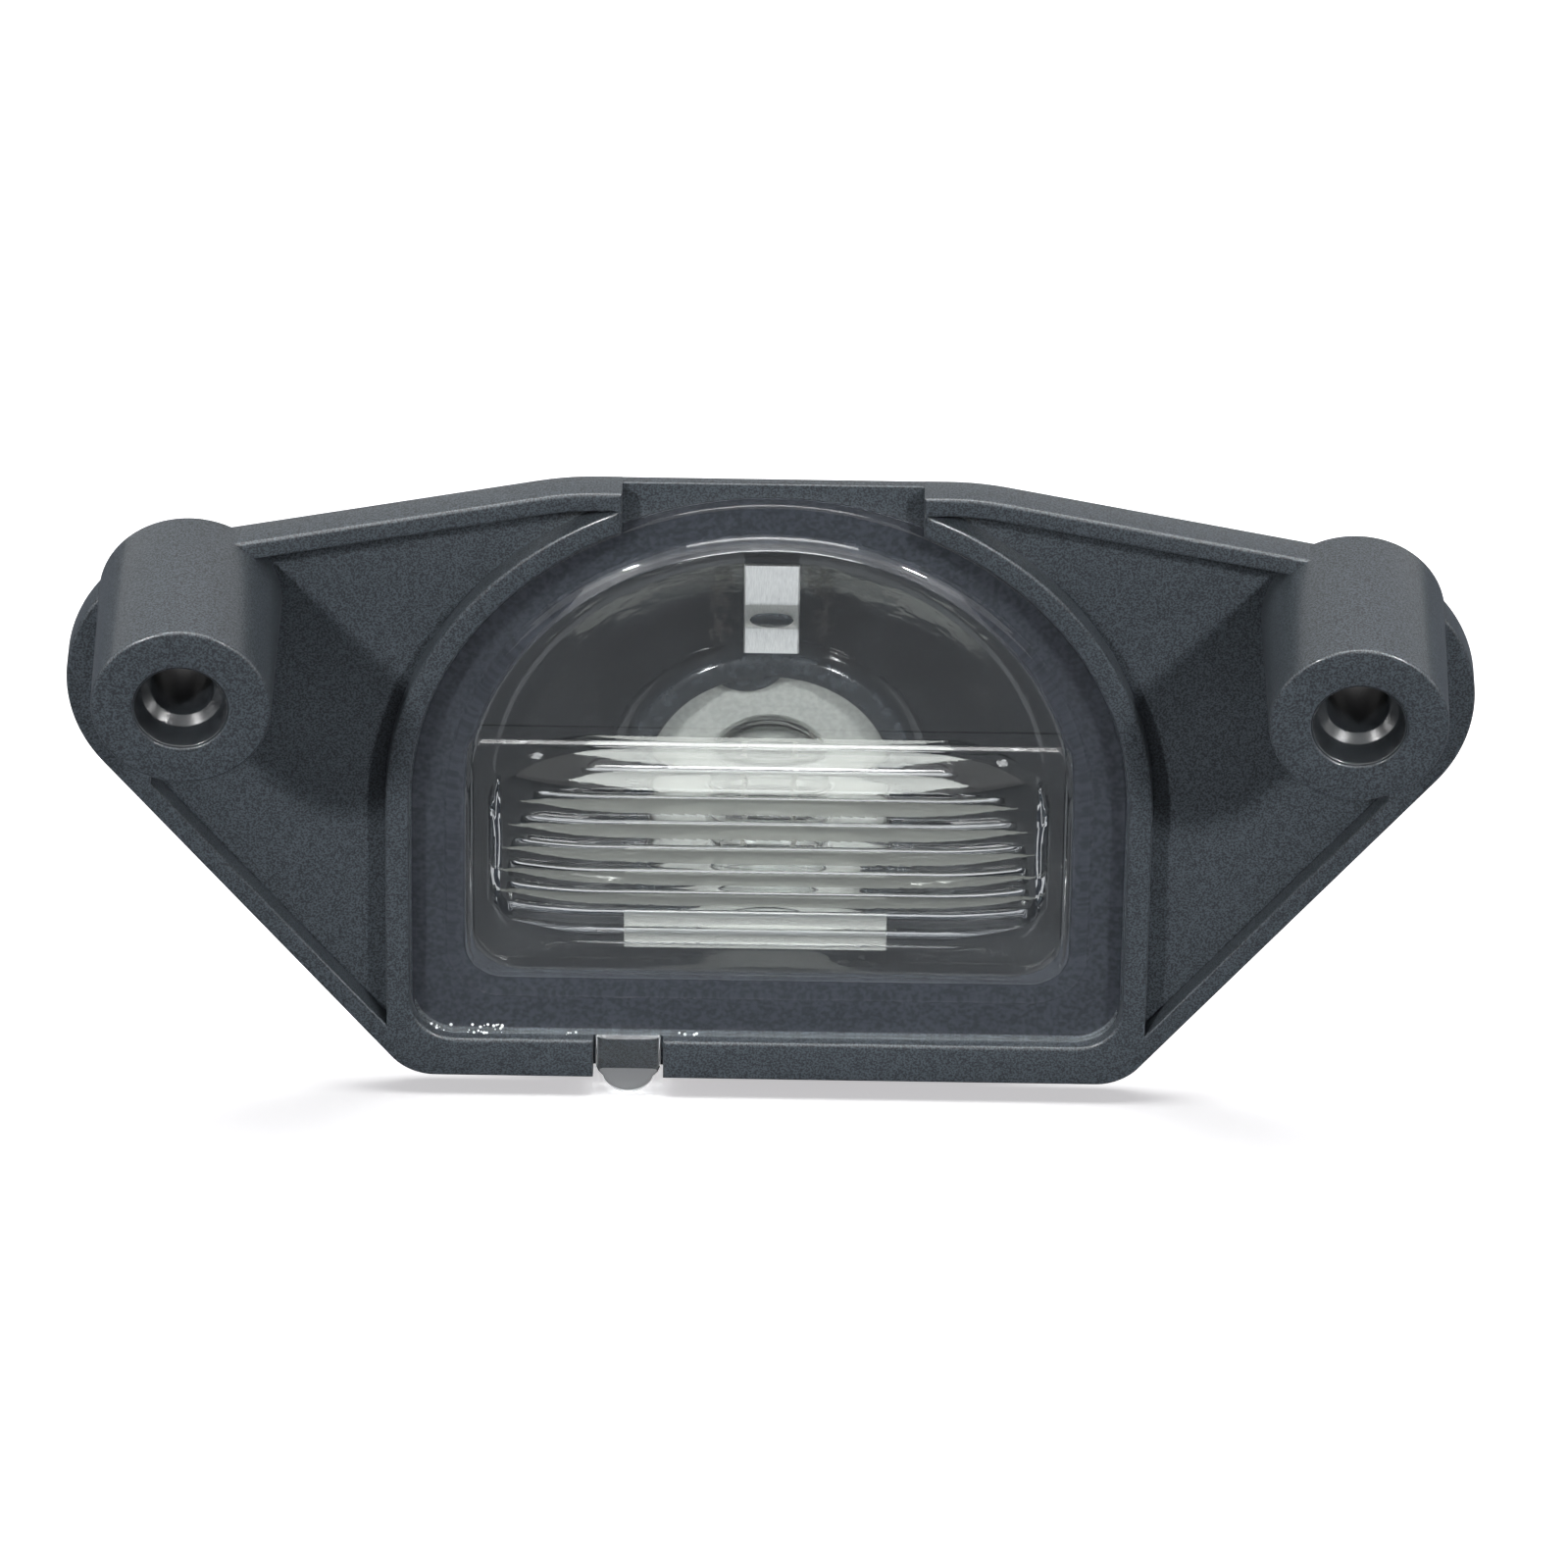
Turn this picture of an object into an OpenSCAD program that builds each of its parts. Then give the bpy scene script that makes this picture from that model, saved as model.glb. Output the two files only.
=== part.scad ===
// Number plate lamp: a moulded housing with two screw bosses, a bonded clear lens, and a twist-in socket
// that holds a wedge-base bulb.
// X runs along the lamp, Z is up and the lens faces -Y. The origin lies midway between the two screws, on
// the mounting plane at the back of the flange. A "height" below is measured forward from that plane.

/* [Screw bosses] */
// Distance between the two screw centres
screw_pitch = 96; // [90:1:110]
// Diameter of the screw hole
screw_d = 5; // [4:0.1:5.6]
// Diameter of the funnel mouth at the boss face
funnel_d = 7.8; // [6.5:0.1:9]
// Depth of the funnel
funnel_depth = 4; // [2:0.5:6]
// Diameter of a boss at its face
boss_d = 14.7; // [13:0.1:15.5]
// Height of a boss from the mounting plane to its face
boss_h = 17.5; // [12:0.5:24]
// Draft of a boss, per side
boss_draft = 0.8; // [0.2:0.1:1.5]

/* [Flange] */
// Height of every rim
rim_h = 3; // [2.6:0.1:4]
// Thickness of the floor between the rims
floor_t = 1; // [0.8:0.1:1.2]
// Width of the rim round the edge
edge_rim = 1.75; // [1.2:0.05:2.4]
// Width of the rim round the lens
lens_rim = 2; // [1.4:0.1:2.6]
// Radius of an ear's rounded end
ear_r = 13.1; // [12:0.1:14.5]
// Distance of an ear's centre inboard of its screw
ear_in = 2.8; // [2:0.1:4]
// Distance of an ear's centre below its screw
ear_drop = 7; // [5:0.5:9]
// Height of the flat top edge above the screws
top_rise = 12; // [11.6:0.1:14]
// Half-length of the flat top edge
top_half = 14.4; // [13:0.2:18]
// Radius of the bend where the top edge turns down to an ear
top_bend_r = 25; // [15:1:30]
// Distance of the bottom edge below the screws
foot_drop = 46.6; // [46:0.2:52]
// Half-length of the bottom edge between its corner centres
foot_half = 27.9; // [27:0.1:31]
// Radius of a bottom corner
foot_r = 4.7; // [3:0.1:6]
// Width of the notch in the top rim
notch_w = 24.8; // [16:0.2:28]

/* [Lens] */
// Radius of the arched lens flange, and half of its width
lens_r = 30; // [29:0.1:30.6]
// Distance of the arch's centre below the screws
arch_drop = 19.1; // [18.6:0.1:20]
// Distance of the flange's lower edge below the screws
lens_drop = 42.8; // [42:0.1:44]
// Radius of the lens flange's lower corners
lens_corner_r = 4; // [3:0.1:6]
// Gap round the lens flange
lens_gap = 0.15; // [0.05:0.05:0.3]
// Thickness of the lens flange
lens_flange_t = 1.4; // [1.2:0.1:1.8]
// Width of the flange round the raised body
lens_margin = 2.9; // [2.2:0.1:3.4]
// Width of the flange below the raised body
lens_foot_margin = 4.3; // [3.4:0.1:5]
// Height that the raised body stands above the flange
body_rise = 0.9; // [0.7:0.1:1.4]
// Wall of the lens
lens_wall = 1.7; // [1.4:0.1:2]
// Distance from the body's edge to the hollow behind it
body_edge = 1.6; // [1.4:0.1:2.2]
// Height of the step at the crease between the two windows
crease_step = 0.25; // [0.15:0.05:0.5]
// Distance of the crease below the screws
crease_drop = 12.2; // [10:0.2:15]
// Radius of the raised body's lower corners
body_corner_r = 5; // [4.5:0.1:7]

/* [Fluted window] */
// Radius of the window's curve
window_r = 23.8; // [20:0.2:30]
// Height of the window from its upper to its lower edge
window_h = 21; // [18:0.5:21.5]
// Distance from the body's side to the window's end
window_margin = 3.5; // [2.6:0.1:7]
// Radius of the window's rounded ends
window_end_r = 6; // [4:0.5:8]
// Number of flutes
flute_count = 9; // [5:1:12]
// Radius of one flute
flute_r = 1.25; // [1.2:0.01:1.6]

/* [Gate tab] */
// Width of the tab
tab_w = 5.6; // [4:0.1:8]
// Distance of the tab's centre left of the middle
tab_left = 11.6; // [6:0.2:18]
// Length that the tab reaches past the housing's bottom edge
tab_reach = 1.8; // [1:0.1:3]
// Thickness of the tab
tab_t = 1.6; // [1.2:0.1:1.9]

/* [Chamber] */
// Width of the seat that carries the lens flange
seat_w = 5; // [4.4:0.1:6]
// Depth of the chamber behind the mounting plane
chamber_depth = 12; // [9:0.5:18]
// Wall of the chamber
chamber_wall = 1.8; // [1.4:0.1:2.4]
// Radius of the chamber's round rear end
chamber_end_r = 13.8; // [13.6:0.1:15]
// Distance of the lamp port below the screws
port_drop = 25; // [24:0.2:26]

/* [Port collar] */
// Radius of the port
port_r = 10.3; // [9.5:0.1:11]
// Wall of the collar
collar_wall = 2.3; // [1.8:0.1:2.8]
// Length of the collar behind the chamber
collar_l = 7; // [6:0.5:10]
// Rise of the collar's lip into the chamber
lip_rise = 1; // [0.6:0.1:1.6]
// Distance that a stop lobe reaches into the port
lobe_reach = 1.8; // [1:0.1:2.4]
// Width of a stop lobe
lobe_w = 7.2; // [5:0.2:9]
// Thickness of a stop lobe
lobe_t = 0.9; // [0.6:0.1:1.2]
// Radius of the lip's rounded edge
lip_edge_r = 0.5; // [0.3:0.05:0.8]
// Turn of the first stop lobe from the top, anticlockwise
lobe_turn = 10; // [0:1:30]
// Turn of the first bayonet slot from the top, anticlockwise
bayonet_turn = 70; // [60:1:80]
// Turn of the socket from insertion to locked
bayonet_sweep = 26; // [20:1:30]
// Width of a bayonet slot
slot_w = 4.6; // [3.6:0.2:6]
// Depth of a bayonet slot from the collar's rear end
slot_l = 4.4; // [3.6:0.2:5]
// Height of the slot's arm along the port's axis
arm_h = 2.6; // [2:0.1:2.8]

/* [Socket] */
// Clearance of the socket's neck in the port
neck_gap = 0.2; // [0.1:0.05:0.4]
// Gap of an ear in the slot's arm, and of the bulb in the socket
ear_gap = 0.2; // [0.1:0.05:0.3]
// Distance that an ear reaches past the port's radius
ear_reach = 1.6; // [1:0.1:2]
// Sweep of an ear
ear_sweep = 16; // [12:1:20]
// Depth of the cup round the bulb's foot
cup_depth = 3; // [2:0.2:4]
// Gap of the cup round the bulb
cup_gap = 0.5; // [0.3:0.1:0.8]
// Thickness of the web between the bulb's slot and the terminals
web_t = 2; // [1.6:0.2:2.4]
// Radius of the socket's rear flange
socket_flange_r = 14.6; // [13.6:0.2:17]
// Thickness of the socket's rear flange
socket_flange_t = 2.2; // [1.6:0.2:3]
// Thickness of the seal
seal_t = 1.4; // [1:0.1:2]
// Width across the terminal shroud
shroud_w = 16; // [14:0.5:18]
// Height of the terminal shroud
shroud_h = 9.6; // [9:0.2:12]
// Length of the terminal shroud
shroud_l = 14; // [11:0.5:16]
// Wall of the terminal shroud
shroud_wall = 1.5; // [1.2:0.1:1.9]
// Span of the two finger grips
grip_span = 25; // [22:0.5:27]
// Thickness of a finger grip
grip_t = 2.6; // [2:0.2:3.4]
// Length of a finger grip
grip_l = 8; // [5:0.5:9]

/* [Bulb] */
// Diameter of the bulb's envelope
bulb_d = 10; // [9:0.1:10.3]
// Length of the glass envelope, without its wedge
bulb_l = 16.3; // [13:0.1:17]
// Thickness of the glass
glass_t = 0.7; // [0.5:0.1:1]
// Width of the wedge base
wedge_w = 9.2; // [8.6:0.1:9.6]
// Thickness of the wedge base
wedge_t = 2.2; // [2:0.1:2.4]
// Length of the wedge base
wedge_l = 9; // [7:0.5:10]
// Length of the slanted shoulder at the envelope's foot
shoulder_l = 1.5; // [1:0.1:2.5]
// Narrowing of the envelope's foot
shoulder_in = 0.4; // [0.2:0.1:0.8]
// Diameter of a lead wire
lead_d = 0.5; // [0.3:0.05:0.6]
// Distance between the two leads
lead_pitch = 4.4; // [4:0.1:5]
// Length of a lead's folded end on the wedge's face
lead_fold_l = 5; // [3:0.5:6]
// Half of the angle that the filament's arch spans
filament_bend = 30; // [15:1:45]
// Diameter of the coiled filament
filament_d = 0.6; // [0.4:0.1:0.8]

/* [Contacts] */
// Width of a contact blade
blade_w = 2.8; // [2.4:0.1:3]
// Thickness of a contact blade
blade_t = 0.6; // [0.5:0.1:0.8]
// Distance between the two blades
blade_pitch = 6; // [5:0.2:6.4]
// Play of a blade in its hole, and of other close fits
fit_gap = 0.05; // [0.02:0.01:0.1]
// Length of a blade behind the web
blade_rear_l = 6; // [5:0.5:7]

/* [Spring clip] */
// Width of the clip
clip_w = 4.6; // [3:0.2:6]
// Thickness of the clip
clip_t = 0.4; // [0.3:0.05:0.6]
// Height of the clip's upper leaf
clip_top_l = 3.3; // [2:0.1:4.5]
// Height of the clip's lower leaf
clip_foot_l = 2.3; // [1.5:0.1:3.5]
// Drop of the clip's leaning leaf
clip_lean_l = 5.6; // [4:0.2:6]
// Distance of the upper leaf behind the mounting plane
clip_back = 0.3; // [0.2:0.1:0.5]
// Gap between the clip's upper end and the top of the chamber's opening
clip_gap = 2.2; // [1.6:0.1:3]
// Diameter of the stake that holds the clip
stake_d = 1.6; // [1.2:0.1:2.2]
// Diameter of the stake's melted head
stake_head_d = 2.9; // [2.4:0.1:3.4]
// Thickness of the stake's melted head
stake_head_t = 0.4; // [0.3:0.05:0.7]
// Length of the pad under the leaning leaf
pad_l = 3.6; // [2.4:0.2:4]

/* [Hidden] */
$fn = 96;
hair = 0.003;
// Children of a hull carry fewer sides
hull_fn = 40;

screw_x = screw_pitch / 2;
boss_base_d = boss_d + 2 * boss_h * tan(boss_draft);
lens_seat_h = floor_t;
lens_face_h = lens_seat_h + lens_flange_t;
body_face_h = lens_face_h + body_rise;
body_r = lens_r - lens_margin;
window_half = body_r - window_margin;
body_drop = lens_drop - lens_foot_margin;
hollow_h = body_face_h - lens_wall;
tab_h = lens_seat_h + (lens_flange_t + rim_h - floor_t - tab_t) / 6;

// The window is part of a cylinder along X, and this is its axis
window_mid = crease_drop + window_h / 2;
window_axis_h = body_face_h - sqrt(pow(window_r, 2) - pow(window_h / 2, 2));
window_top_h = window_axis_h + window_r;
window_half_angle = asin(window_h / 2 / window_r);
flute_pitch = 2 * (window_r - lens_wall) * sin(window_half_angle / flute_count);
flute_axis_r = window_r - lens_wall + sqrt(pow(flute_r, 2) - pow(flute_pitch / 2, 2));

port_rear = -chamber_depth - chamber_wall - collar_l;
opening_r = lens_r - seat_w;
opening_top = opening_r - arch_drop;
opening_drop = lens_drop - seat_w - body_edge;
opening_corner_r = body_corner_r;
collar_r = port_r + collar_wall;

neck_r = port_r - neck_gap;
neck_face = -chamber_depth - lobe_t;
seal_rear = port_rear - seal_t;
socket_rear = seal_rear - socket_flange_t;
shroud_rear = socket_rear - shroud_l;
cup_floor = neck_face - cup_depth;
wedge_end = cup_floor - wedge_l;
bulb_slot_end = wedge_end - lead_d - cup_gap;
terminal_floor = bulb_slot_end - web_t;

// Three lobes, and three slots with an ear in each
thirds = [0, 120, 240];
arm_top = port_rear + slot_l;

bulb_r = bulb_d / 2;
bulb_base_h = cup_floor + ear_gap;
bulb_tip_h = bulb_base_h + bulb_l;
filament_h = bulb_tip_h - bulb_r;
lead_x = lead_pitch / 2;
lead_fold_z = wedge_t / 2 + lead_d / 2;
contact_face_z = wedge_t / 2 + lead_d + fit_gap / 2;
contact_front = cup_floor - web_t / 2;
contact_rear = terminal_floor - blade_rear_l;
bulb_slot_h = 2 * (contact_face_z + blade_t + ear_gap);

// The chamber's upper wall leans back by this much height for each millimetre of Z
wall_run = (floor_t / 2 + chamber_depth - lip_edge_r) / (opening_top + port_drop - chamber_end_r);
wall_lean = atan(wall_run);
// The clip runs down from its top leaf, back along the leaning wall, and down again
clip_rise = opening_top - clip_gap;
clip_bend_z = clip_rise - clip_top_l;
clip_foot_z = clip_bend_z - clip_lean_l;
clip_foot_h = -clip_back - clip_lean_l * wall_run;
clip_path = [
    [-clip_back, clip_rise],
    [-clip_back, clip_bend_z],
    [clip_foot_h, clip_foot_z],
    [clip_foot_h, clip_foot_z - clip_foot_l]
];
clip_mid = (clip_path[1] + clip_path[2]) / 2;
// From the leaf's middle down to the wall, measured square to both, and sunk into it
pad_depth = (clip_mid[0] - floor_t / 2 + (opening_top - clip_mid[1]) * wall_run) * cos(wall_lean) + clip_t;

// Corners of the tangent polygon round a ring of circles [x, z, r], taken anticlockwise
function tangent_points(ring) = [
    for (i = [0 : len(ring) - 1])
        let (a = ring[i], b = ring[(i + 1) % len(ring)],
             d = [b[0] - a[0], b[1] - a[1]],
             u = atan2(d[1], d[0]) - acos((a[2] - b[2]) / norm(d)))
        each [[a[0] + a[2] * cos(u), a[1] + a[2] * sin(u)],
              [b[0] + b[2] * cos(u), b[1] + b[2] * sin(u)]]
];

// Outline with true arcs that a taut band round the circles would have, shrunk by inset.
// The straight edges lie a hair inside the arcs, so that no sliver is left where they meet.
module banded(ring, inset = 0) {
    shrunk = [for (c = ring) [c[0], c[1], c[2] - inset]];
    polygon(tangent_points([for (c = shrunk) [c[0], c[1], c[2] - hair]]));
    for (c = shrunk) {
        translate([c[0], c[1]]) circle(c[2]);
    }
}

// Solid between two heights, from an outline drawn in X and Z
module slab(low, high) {
    rotate([90, 0, 0]) translate([0, 0, low]) linear_extrude(high - low) children();
}

// Solid of revolution about the port's axis, from a profile of radius and height
module port_turned() {
    translate([0, 0, -port_drop]) rotate([90, 0, 0]) rotate_extrude() children();
}

// Solid along X from an outline drawn in depth (+Y) and Z
module bar(width) {
    rotate([90, 0, 90]) translate([0, 0, -width / 2]) linear_extrude(width) children();
}

// Round rod through a slab of heights, at a place in X and Z
module rod(x, z, low, high, r) {
    translate([x, 0, z]) rotate([90, 0, 0]) translate([0, 0, low]) cylinder(h = high - low, r = r);
}

flange_ring = [
    [-foot_half, -foot_drop + foot_r, foot_r],
    [foot_half, -foot_drop + foot_r, foot_r],
    [screw_x - ear_in, -ear_drop, ear_r],
    [top_half, top_rise - top_bend_r, top_bend_r],
    [-top_half, top_rise - top_bend_r, top_bend_r],
    [-screw_x + ear_in, -ear_drop, ear_r]
];

// Arch over straight sides, with rounded lower corners
module arched(r, drop, corner_r) {
    intersection() {
        translate([0, -arch_drop]) circle(r);
        translate([-r, -arch_drop]) square([2 * r, r]);
    }
    translate([-r, -drop + corner_r]) square([2 * r, drop - corner_r - arch_drop]);
    translate([-r + corner_r, -drop]) square([2 * (r - corner_r), corner_r]);
    for (side = [-1, 1]) {
        translate([side * (r - corner_r), -drop + corner_r]) circle(corner_r);
    }
}

module lens_outline(inset = 0) {
    arched(lens_r - inset, lens_drop - inset, lens_corner_r - inset);
}

module body_outline(inset = 0) {
    arched(body_r - inset, body_drop - inset, body_corner_r - inset);
}

module hollow_outline() {
    body_outline(body_edge);
}

// The two pockets between the edge rim, the lens rim and the bosses
module pocket_outline() {
    difference() {
        banded(flange_ring, edge_rim);
        arched(lens_r + lens_rim, foot_drop + foot_r, foot_r);
        for (side = [-1, 1]) {
            translate([side * screw_x, 0]) circle(d = boss_base_d);
            translate([side * (screw_x + 2 * ear_r), -foot_drop / 2])
                square([4 * ear_r, 2 * foot_drop], center = true);
        }
    }
}

module tab_outline(gap = 0) {
    tab_r = tab_w / 2;
    round_z = -foot_drop - tab_reach + tab_r;
    translate([-tab_left, round_z]) circle(tab_r + gap);
    translate([-tab_left - tab_r - gap, round_z])
        square([tab_w + 2 * gap, -lens_drop + 1 - round_z]);
}

module bosses() {
    for (side = [-1, 1]) {
        translate([side * screw_x, 0, 0]) rotate([90, 0, 0])
            cylinder(h = boss_h, d1 = boss_base_d, d2 = boss_d);
    }
}

module screw_holes() {
    for (side = [-1, 1]) {
        rod(side * screw_x, 0, -1, boss_h + 1, screw_d / 2);
        translate([side * screw_x, 0, 0]) rotate([90, 0, 0]) translate([0, 0, boss_h - funnel_depth])
            cylinder(h = funnel_depth, d1 = screw_d, d2 = funnel_d);
    }
}

// The chamber narrows from the arched opening to the round rear end. With grow it becomes its own outside.
module chamber_form(front_low, front_high, grow, back) {
    hull() {
        slab(front_low, front_high)
            arched(opening_r + grow, opening_drop + grow, opening_corner_r + grow, $fn = hull_fn);
        rod(0, -port_drop, back, back + lip_edge_r, chamber_end_r + grow, $fn = hull_fn);
    }
}

module port_lip() {
    low = -chamber_depth - lip_rise;
    high = -chamber_depth + lip_rise;
    lip_w = collar_r - neck_r;
    port_turned() {
        translate([neck_r, low]) square([lip_w - lip_edge_r, high - low]);
        translate([neck_r, low]) square([lip_w, high - low - lip_edge_r]);
        translate([collar_r - lip_edge_r, high - lip_edge_r]) circle(lip_edge_r, $fn = 24);
    }
}

// Lobes that reach into the port and stop the socket's face
module stop_lobes() {
    lobe_r = lobe_w / 2;
    intersection() {
        rod(0, -port_drop, neck_face, neck_face + lobe_t, (port_r + collar_r) / 2);
        for (turn = thirds) {
            translate([0, 0, -port_drop]) rotate([0, -lobe_turn - turn, 0])
                rod(0, port_r + lobe_r - lobe_reach, neck_face, neck_face + lobe_t, lobe_r);
        }
    }
}

// Arc of a ring round the port's axis: sweep in degrees, from the middle of a slot to its blind end
module port_arc(turn, from_sweep, sweep, low, high, inner_r, outer_r) {
    translate([0, 0, -port_drop]) rotate([0, -turn, 0]) rotate([90, 0, 0]) translate([0, 0, low])
        rotate([0, 0, 90 - from_sweep - sweep]) rotate_extrude(angle = sweep)
            translate([inner_r, 0]) square([outer_r - inner_r, high - low]);
}

// Hooked slots at the collar's rear end, that hold the socket's ears
module bayonet_slots() {
    slot_sweep = 2 * asin(slot_w / 2 / port_r);
    low = port_rear - 1;
    for (turn = thirds) {
        mid = bayonet_turn + turn;
        port_arc(mid, -slot_sweep / 2, slot_sweep, low, arm_top + ear_gap, neck_r, collar_r + 1);
        port_arc(mid, 0, bayonet_sweep, arm_top - arm_h, arm_top, neck_r, collar_r + 1);
    }
}

// Middle of the clip's leaning leaf, with +Z out of its face into the chamber
module clip_frame() {
    translate([0, -clip_mid[0], clip_mid[1]]) rotate([90 + wall_lean, 0, 0]) children();
}

// Raised pad on the chamber's upper wall, with the melted stake that holds the spring clip
module clip_pad() {
    clip_frame() {
        translate([-clip_w / 2, -pad_l / 2, -pad_depth]) cube([clip_w, pad_l, pad_depth - clip_t / 2]);
        translate([0, 0, -clip_t]) cylinder(h = 2 * clip_t, r = stake_d / 2, $fn = 32);
        translate([0, 0, clip_t / 2]) cylinder(h = stake_head_t, d = stake_head_d, $fn = 32);
    }
}

// The flange with its rims, and the bosses
module flange() {
    difference() {
        slab(0, rim_h) banded(flange_ring);
        slab(floor_t, rim_h + 1) pocket_outline();
        slab(lens_seat_h, rim_h + 1) lens_outline();
        slab(lens_seat_h, rim_h + 1) translate([-notch_w / 2, -arch_drop]) square([notch_w, 2 * lens_r]);
        slab(lens_seat_h, rim_h + 1) tab_outline(lens_gap);
    }
    bosses();
}

module housing() {
    color([0.17, 0.18, 0.2]) {
        difference() {
            union() {
                difference() {
                    union() {
                        flange();
                        chamber_form(-clip_back, floor_t / 2, chamber_wall, -chamber_depth - chamber_wall);
                        rod(0, -port_drop, port_rear, -chamber_depth, collar_r);
                    }
                    chamber_form(floor_t / 2, rim_h, 0, -chamber_depth);
                }
                port_lip();
            }
            screw_holes();
            rod(0, -port_drop, port_rear - 1, 0, port_r);
            bayonet_slots();
        }
        stop_lobes();
        clip_pad();
    }
}

// Section of the raised body from its middle out to its rounded edge, in width and height
module edge_section(width) {
    translate([0, lens_seat_h]) square([width - body_rise, body_face_h - lens_seat_h]);
    translate([0, lens_seat_h]) square([width, lens_flange_t]);
    translate([width - body_rise, lens_face_h]) intersection() {
        circle(body_rise);
        square(body_rise);
    }
}

// The raised body: half of a turned disc, straight sides and foot, and two turned corners
module body_form() {
    corner_x = body_r - body_corner_r;
    corner_z = -body_drop + body_corner_r;
    translate([0, 0, -arch_drop]) rotate([90, 0, 0]) rotate_extrude(angle = 180) edge_section(body_r);
    for (side = [0, 1]) {
        mirror([side, 0, 0]) {
            translate([0, 0, corner_z]) linear_extrude(-arch_drop - corner_z)
                mirror([0, 1]) edge_section(body_r);
            translate([corner_x, 0, corner_z]) rotate([90, 0, 0]) rotate([0, 0, -90])
                rotate_extrude(angle = 90) edge_section(body_corner_r);
            translate([0, 0, corner_z]) rotate([0, 90, 0]) linear_extrude(corner_x)
                mirror([0, 1]) edge_section(body_corner_r);
        }
    }
}

// Outline of the window in width and height, with its rounded ends
module window_outline(inset) {
    half = window_half - inset;
    end_r = window_end_r - inset;
    top = window_top_h + lens_wall - inset;
    intersection() {
        union() {
            translate([-half + end_r, top - 2 * end_r]) square([2 * (half - end_r), 2 * end_r]);
            for (side = [-1, 1]) {
                translate([side * (half - end_r), top - end_r]) circle(end_r);
            }
        }
        translate([-half, lens_seat_h]) square([2 * half, top - lens_seat_h]);
    }
}

module window_form(inset) {
    intersection() {
        translate([0, -window_axis_h, -window_mid]) rotate([0, 90, 0])
            cylinder(h = 2 * window_half, r = window_r - inset, center = true, $fn = 180);
        translate([0, 0, -window_mid - window_r]) linear_extrude(2 * window_r)
            mirror([0, 1]) window_outline(inset);
    }
}

module flutes() {
    for (i = [0 : flute_count - 1]) {
        turn = window_half_angle * (2 * (i + 0.5) / flute_count - 1);
        translate([0, -window_axis_h - flute_axis_r * cos(turn), -window_mid - flute_axis_r * sin(turn)])
            rotate([0, 90, 0]) cylinder(h = 2 * window_half - 2, r = flute_r, center = true, $fn = 32);
    }
}

// The half above the crease stands a little higher than the fluted half
module upper_window() {
    slab(lens_seat_h, body_face_h + crease_step) intersection() {
        body_outline(body_rise + crease_step);
        translate([-lens_r, -crease_drop - crease_step / 2]) square([2 * lens_r, lens_r + crease_drop]);
    }
}

module lens() {
    color([0.82, 0.86, 0.88, 0.45]) {
        difference() {
            union() {
                slab(lens_seat_h, lens_face_h) lens_outline(lens_gap);
                body_form();
                upper_window();
                window_form(0);
                slab(tab_h, tab_h + tab_t) tab_outline();
            }
            slab(lens_seat_h - 1, hollow_h) hollow_outline();
            intersection() {
                window_form(lens_wall);
                slab(lens_seat_h - 1, window_top_h) hollow_outline();
            }
        }
        intersection() {
            flutes();
            window_form(0.3);
            slab(hollow_h - flute_r, window_top_h) hollow_outline();
        }
    }
}

// Strip of constant thickness along a path of [height, z] points
module strip(path, thick) {
    for (i = [0 : len(path) - 2]) {
        run = path[i + 1] - path[i];
        translate([-path[i][0], path[i][1]]) rotate(atan2(run[1], -run[0]))
            translate([0, -thick / 2]) square([norm(run), thick]);
    }
    for (i = [1 : len(path) - 2]) {
        translate([-path[i][0], path[i][1]]) circle(thick / 2, $fn = 24);
    }
}

module spring_clip() {
    color([0.78, 0.78, 0.76]) difference() {
        bar(clip_w) strip(clip_path, clip_t);
        clip_frame() cylinder(h = 3 * clip_t, r = stake_d / 2 + fit_gap, center = true, $fn = 32);
    }
}

// Block centred on the port's axis, between two heights
module port_block(width, tall, low, high, x = 0, z = 0) {
    translate([x - width / 2, -high, -port_drop + z - tall / 2]) cube([width, high - low, tall]);
}

module bulb_socket() {
    inner_w = shroud_w - 2 * shroud_wall;
    inner_h = shroud_h - 2 * shroud_wall;
    color([0.74, 0.75, 0.73]) difference() {
        union() {
            rod(0, -port_drop, seal_rear, neck_face, neck_r);
            rod(0, -port_drop, socket_rear, seal_rear, socket_flange_r);
            for (turn = thirds) {
                port_arc(bayonet_turn + turn, bayonet_sweep - ear_sweep - 1, ear_sweep,
                         arm_top - arm_h + ear_gap, arm_top - ear_gap, neck_r - 1, port_r + ear_reach);
            }
            port_block(grip_span, grip_t, socket_rear - grip_l, socket_rear);
            port_block(shroud_w, shroud_h, shroud_rear, socket_rear);
        }
        rod(0, -port_drop, cup_floor, neck_face + 1, bulb_r + cup_gap);
        port_block(wedge_w + 2 * ear_gap, bulb_slot_h, bulb_slot_end, cup_floor + 1);
        port_block(inner_w, inner_h, shroud_rear - 1, terminal_floor);
        for (side = [-1, 1]) {
            port_block(blade_w + 2 * fit_gap, blade_t + 2 * fit_gap, terminal_floor - 1, bulb_slot_end + 1,
                       side * blade_pitch / 2, -side * (contact_face_z + blade_t / 2));
        }
    }
}

module port_seal() {
    color([0.12, 0.12, 0.12]) difference() {
        rod(0, -port_drop, seal_rear, port_rear, socket_flange_r - 0.6);
        rod(0, -port_drop, seal_rear - 1, port_rear + 1, neck_r + fit_gap);
    }
}

// Half section of the envelope, from its base to its domed tip
module envelope_section(inset) {
    r = bulb_r - inset;
    low = bulb_base_h + (inset > 0 ? shoulder_l : 0);
    polygon([[0, low], [r - shoulder_in, low], [r, low + shoulder_l], [r, filament_h], [0, filament_h]]);
    intersection() {
        translate([0, filament_h]) circle(r);
        translate([0, filament_h]) square([r, r + 1]);
    }
}

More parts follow.
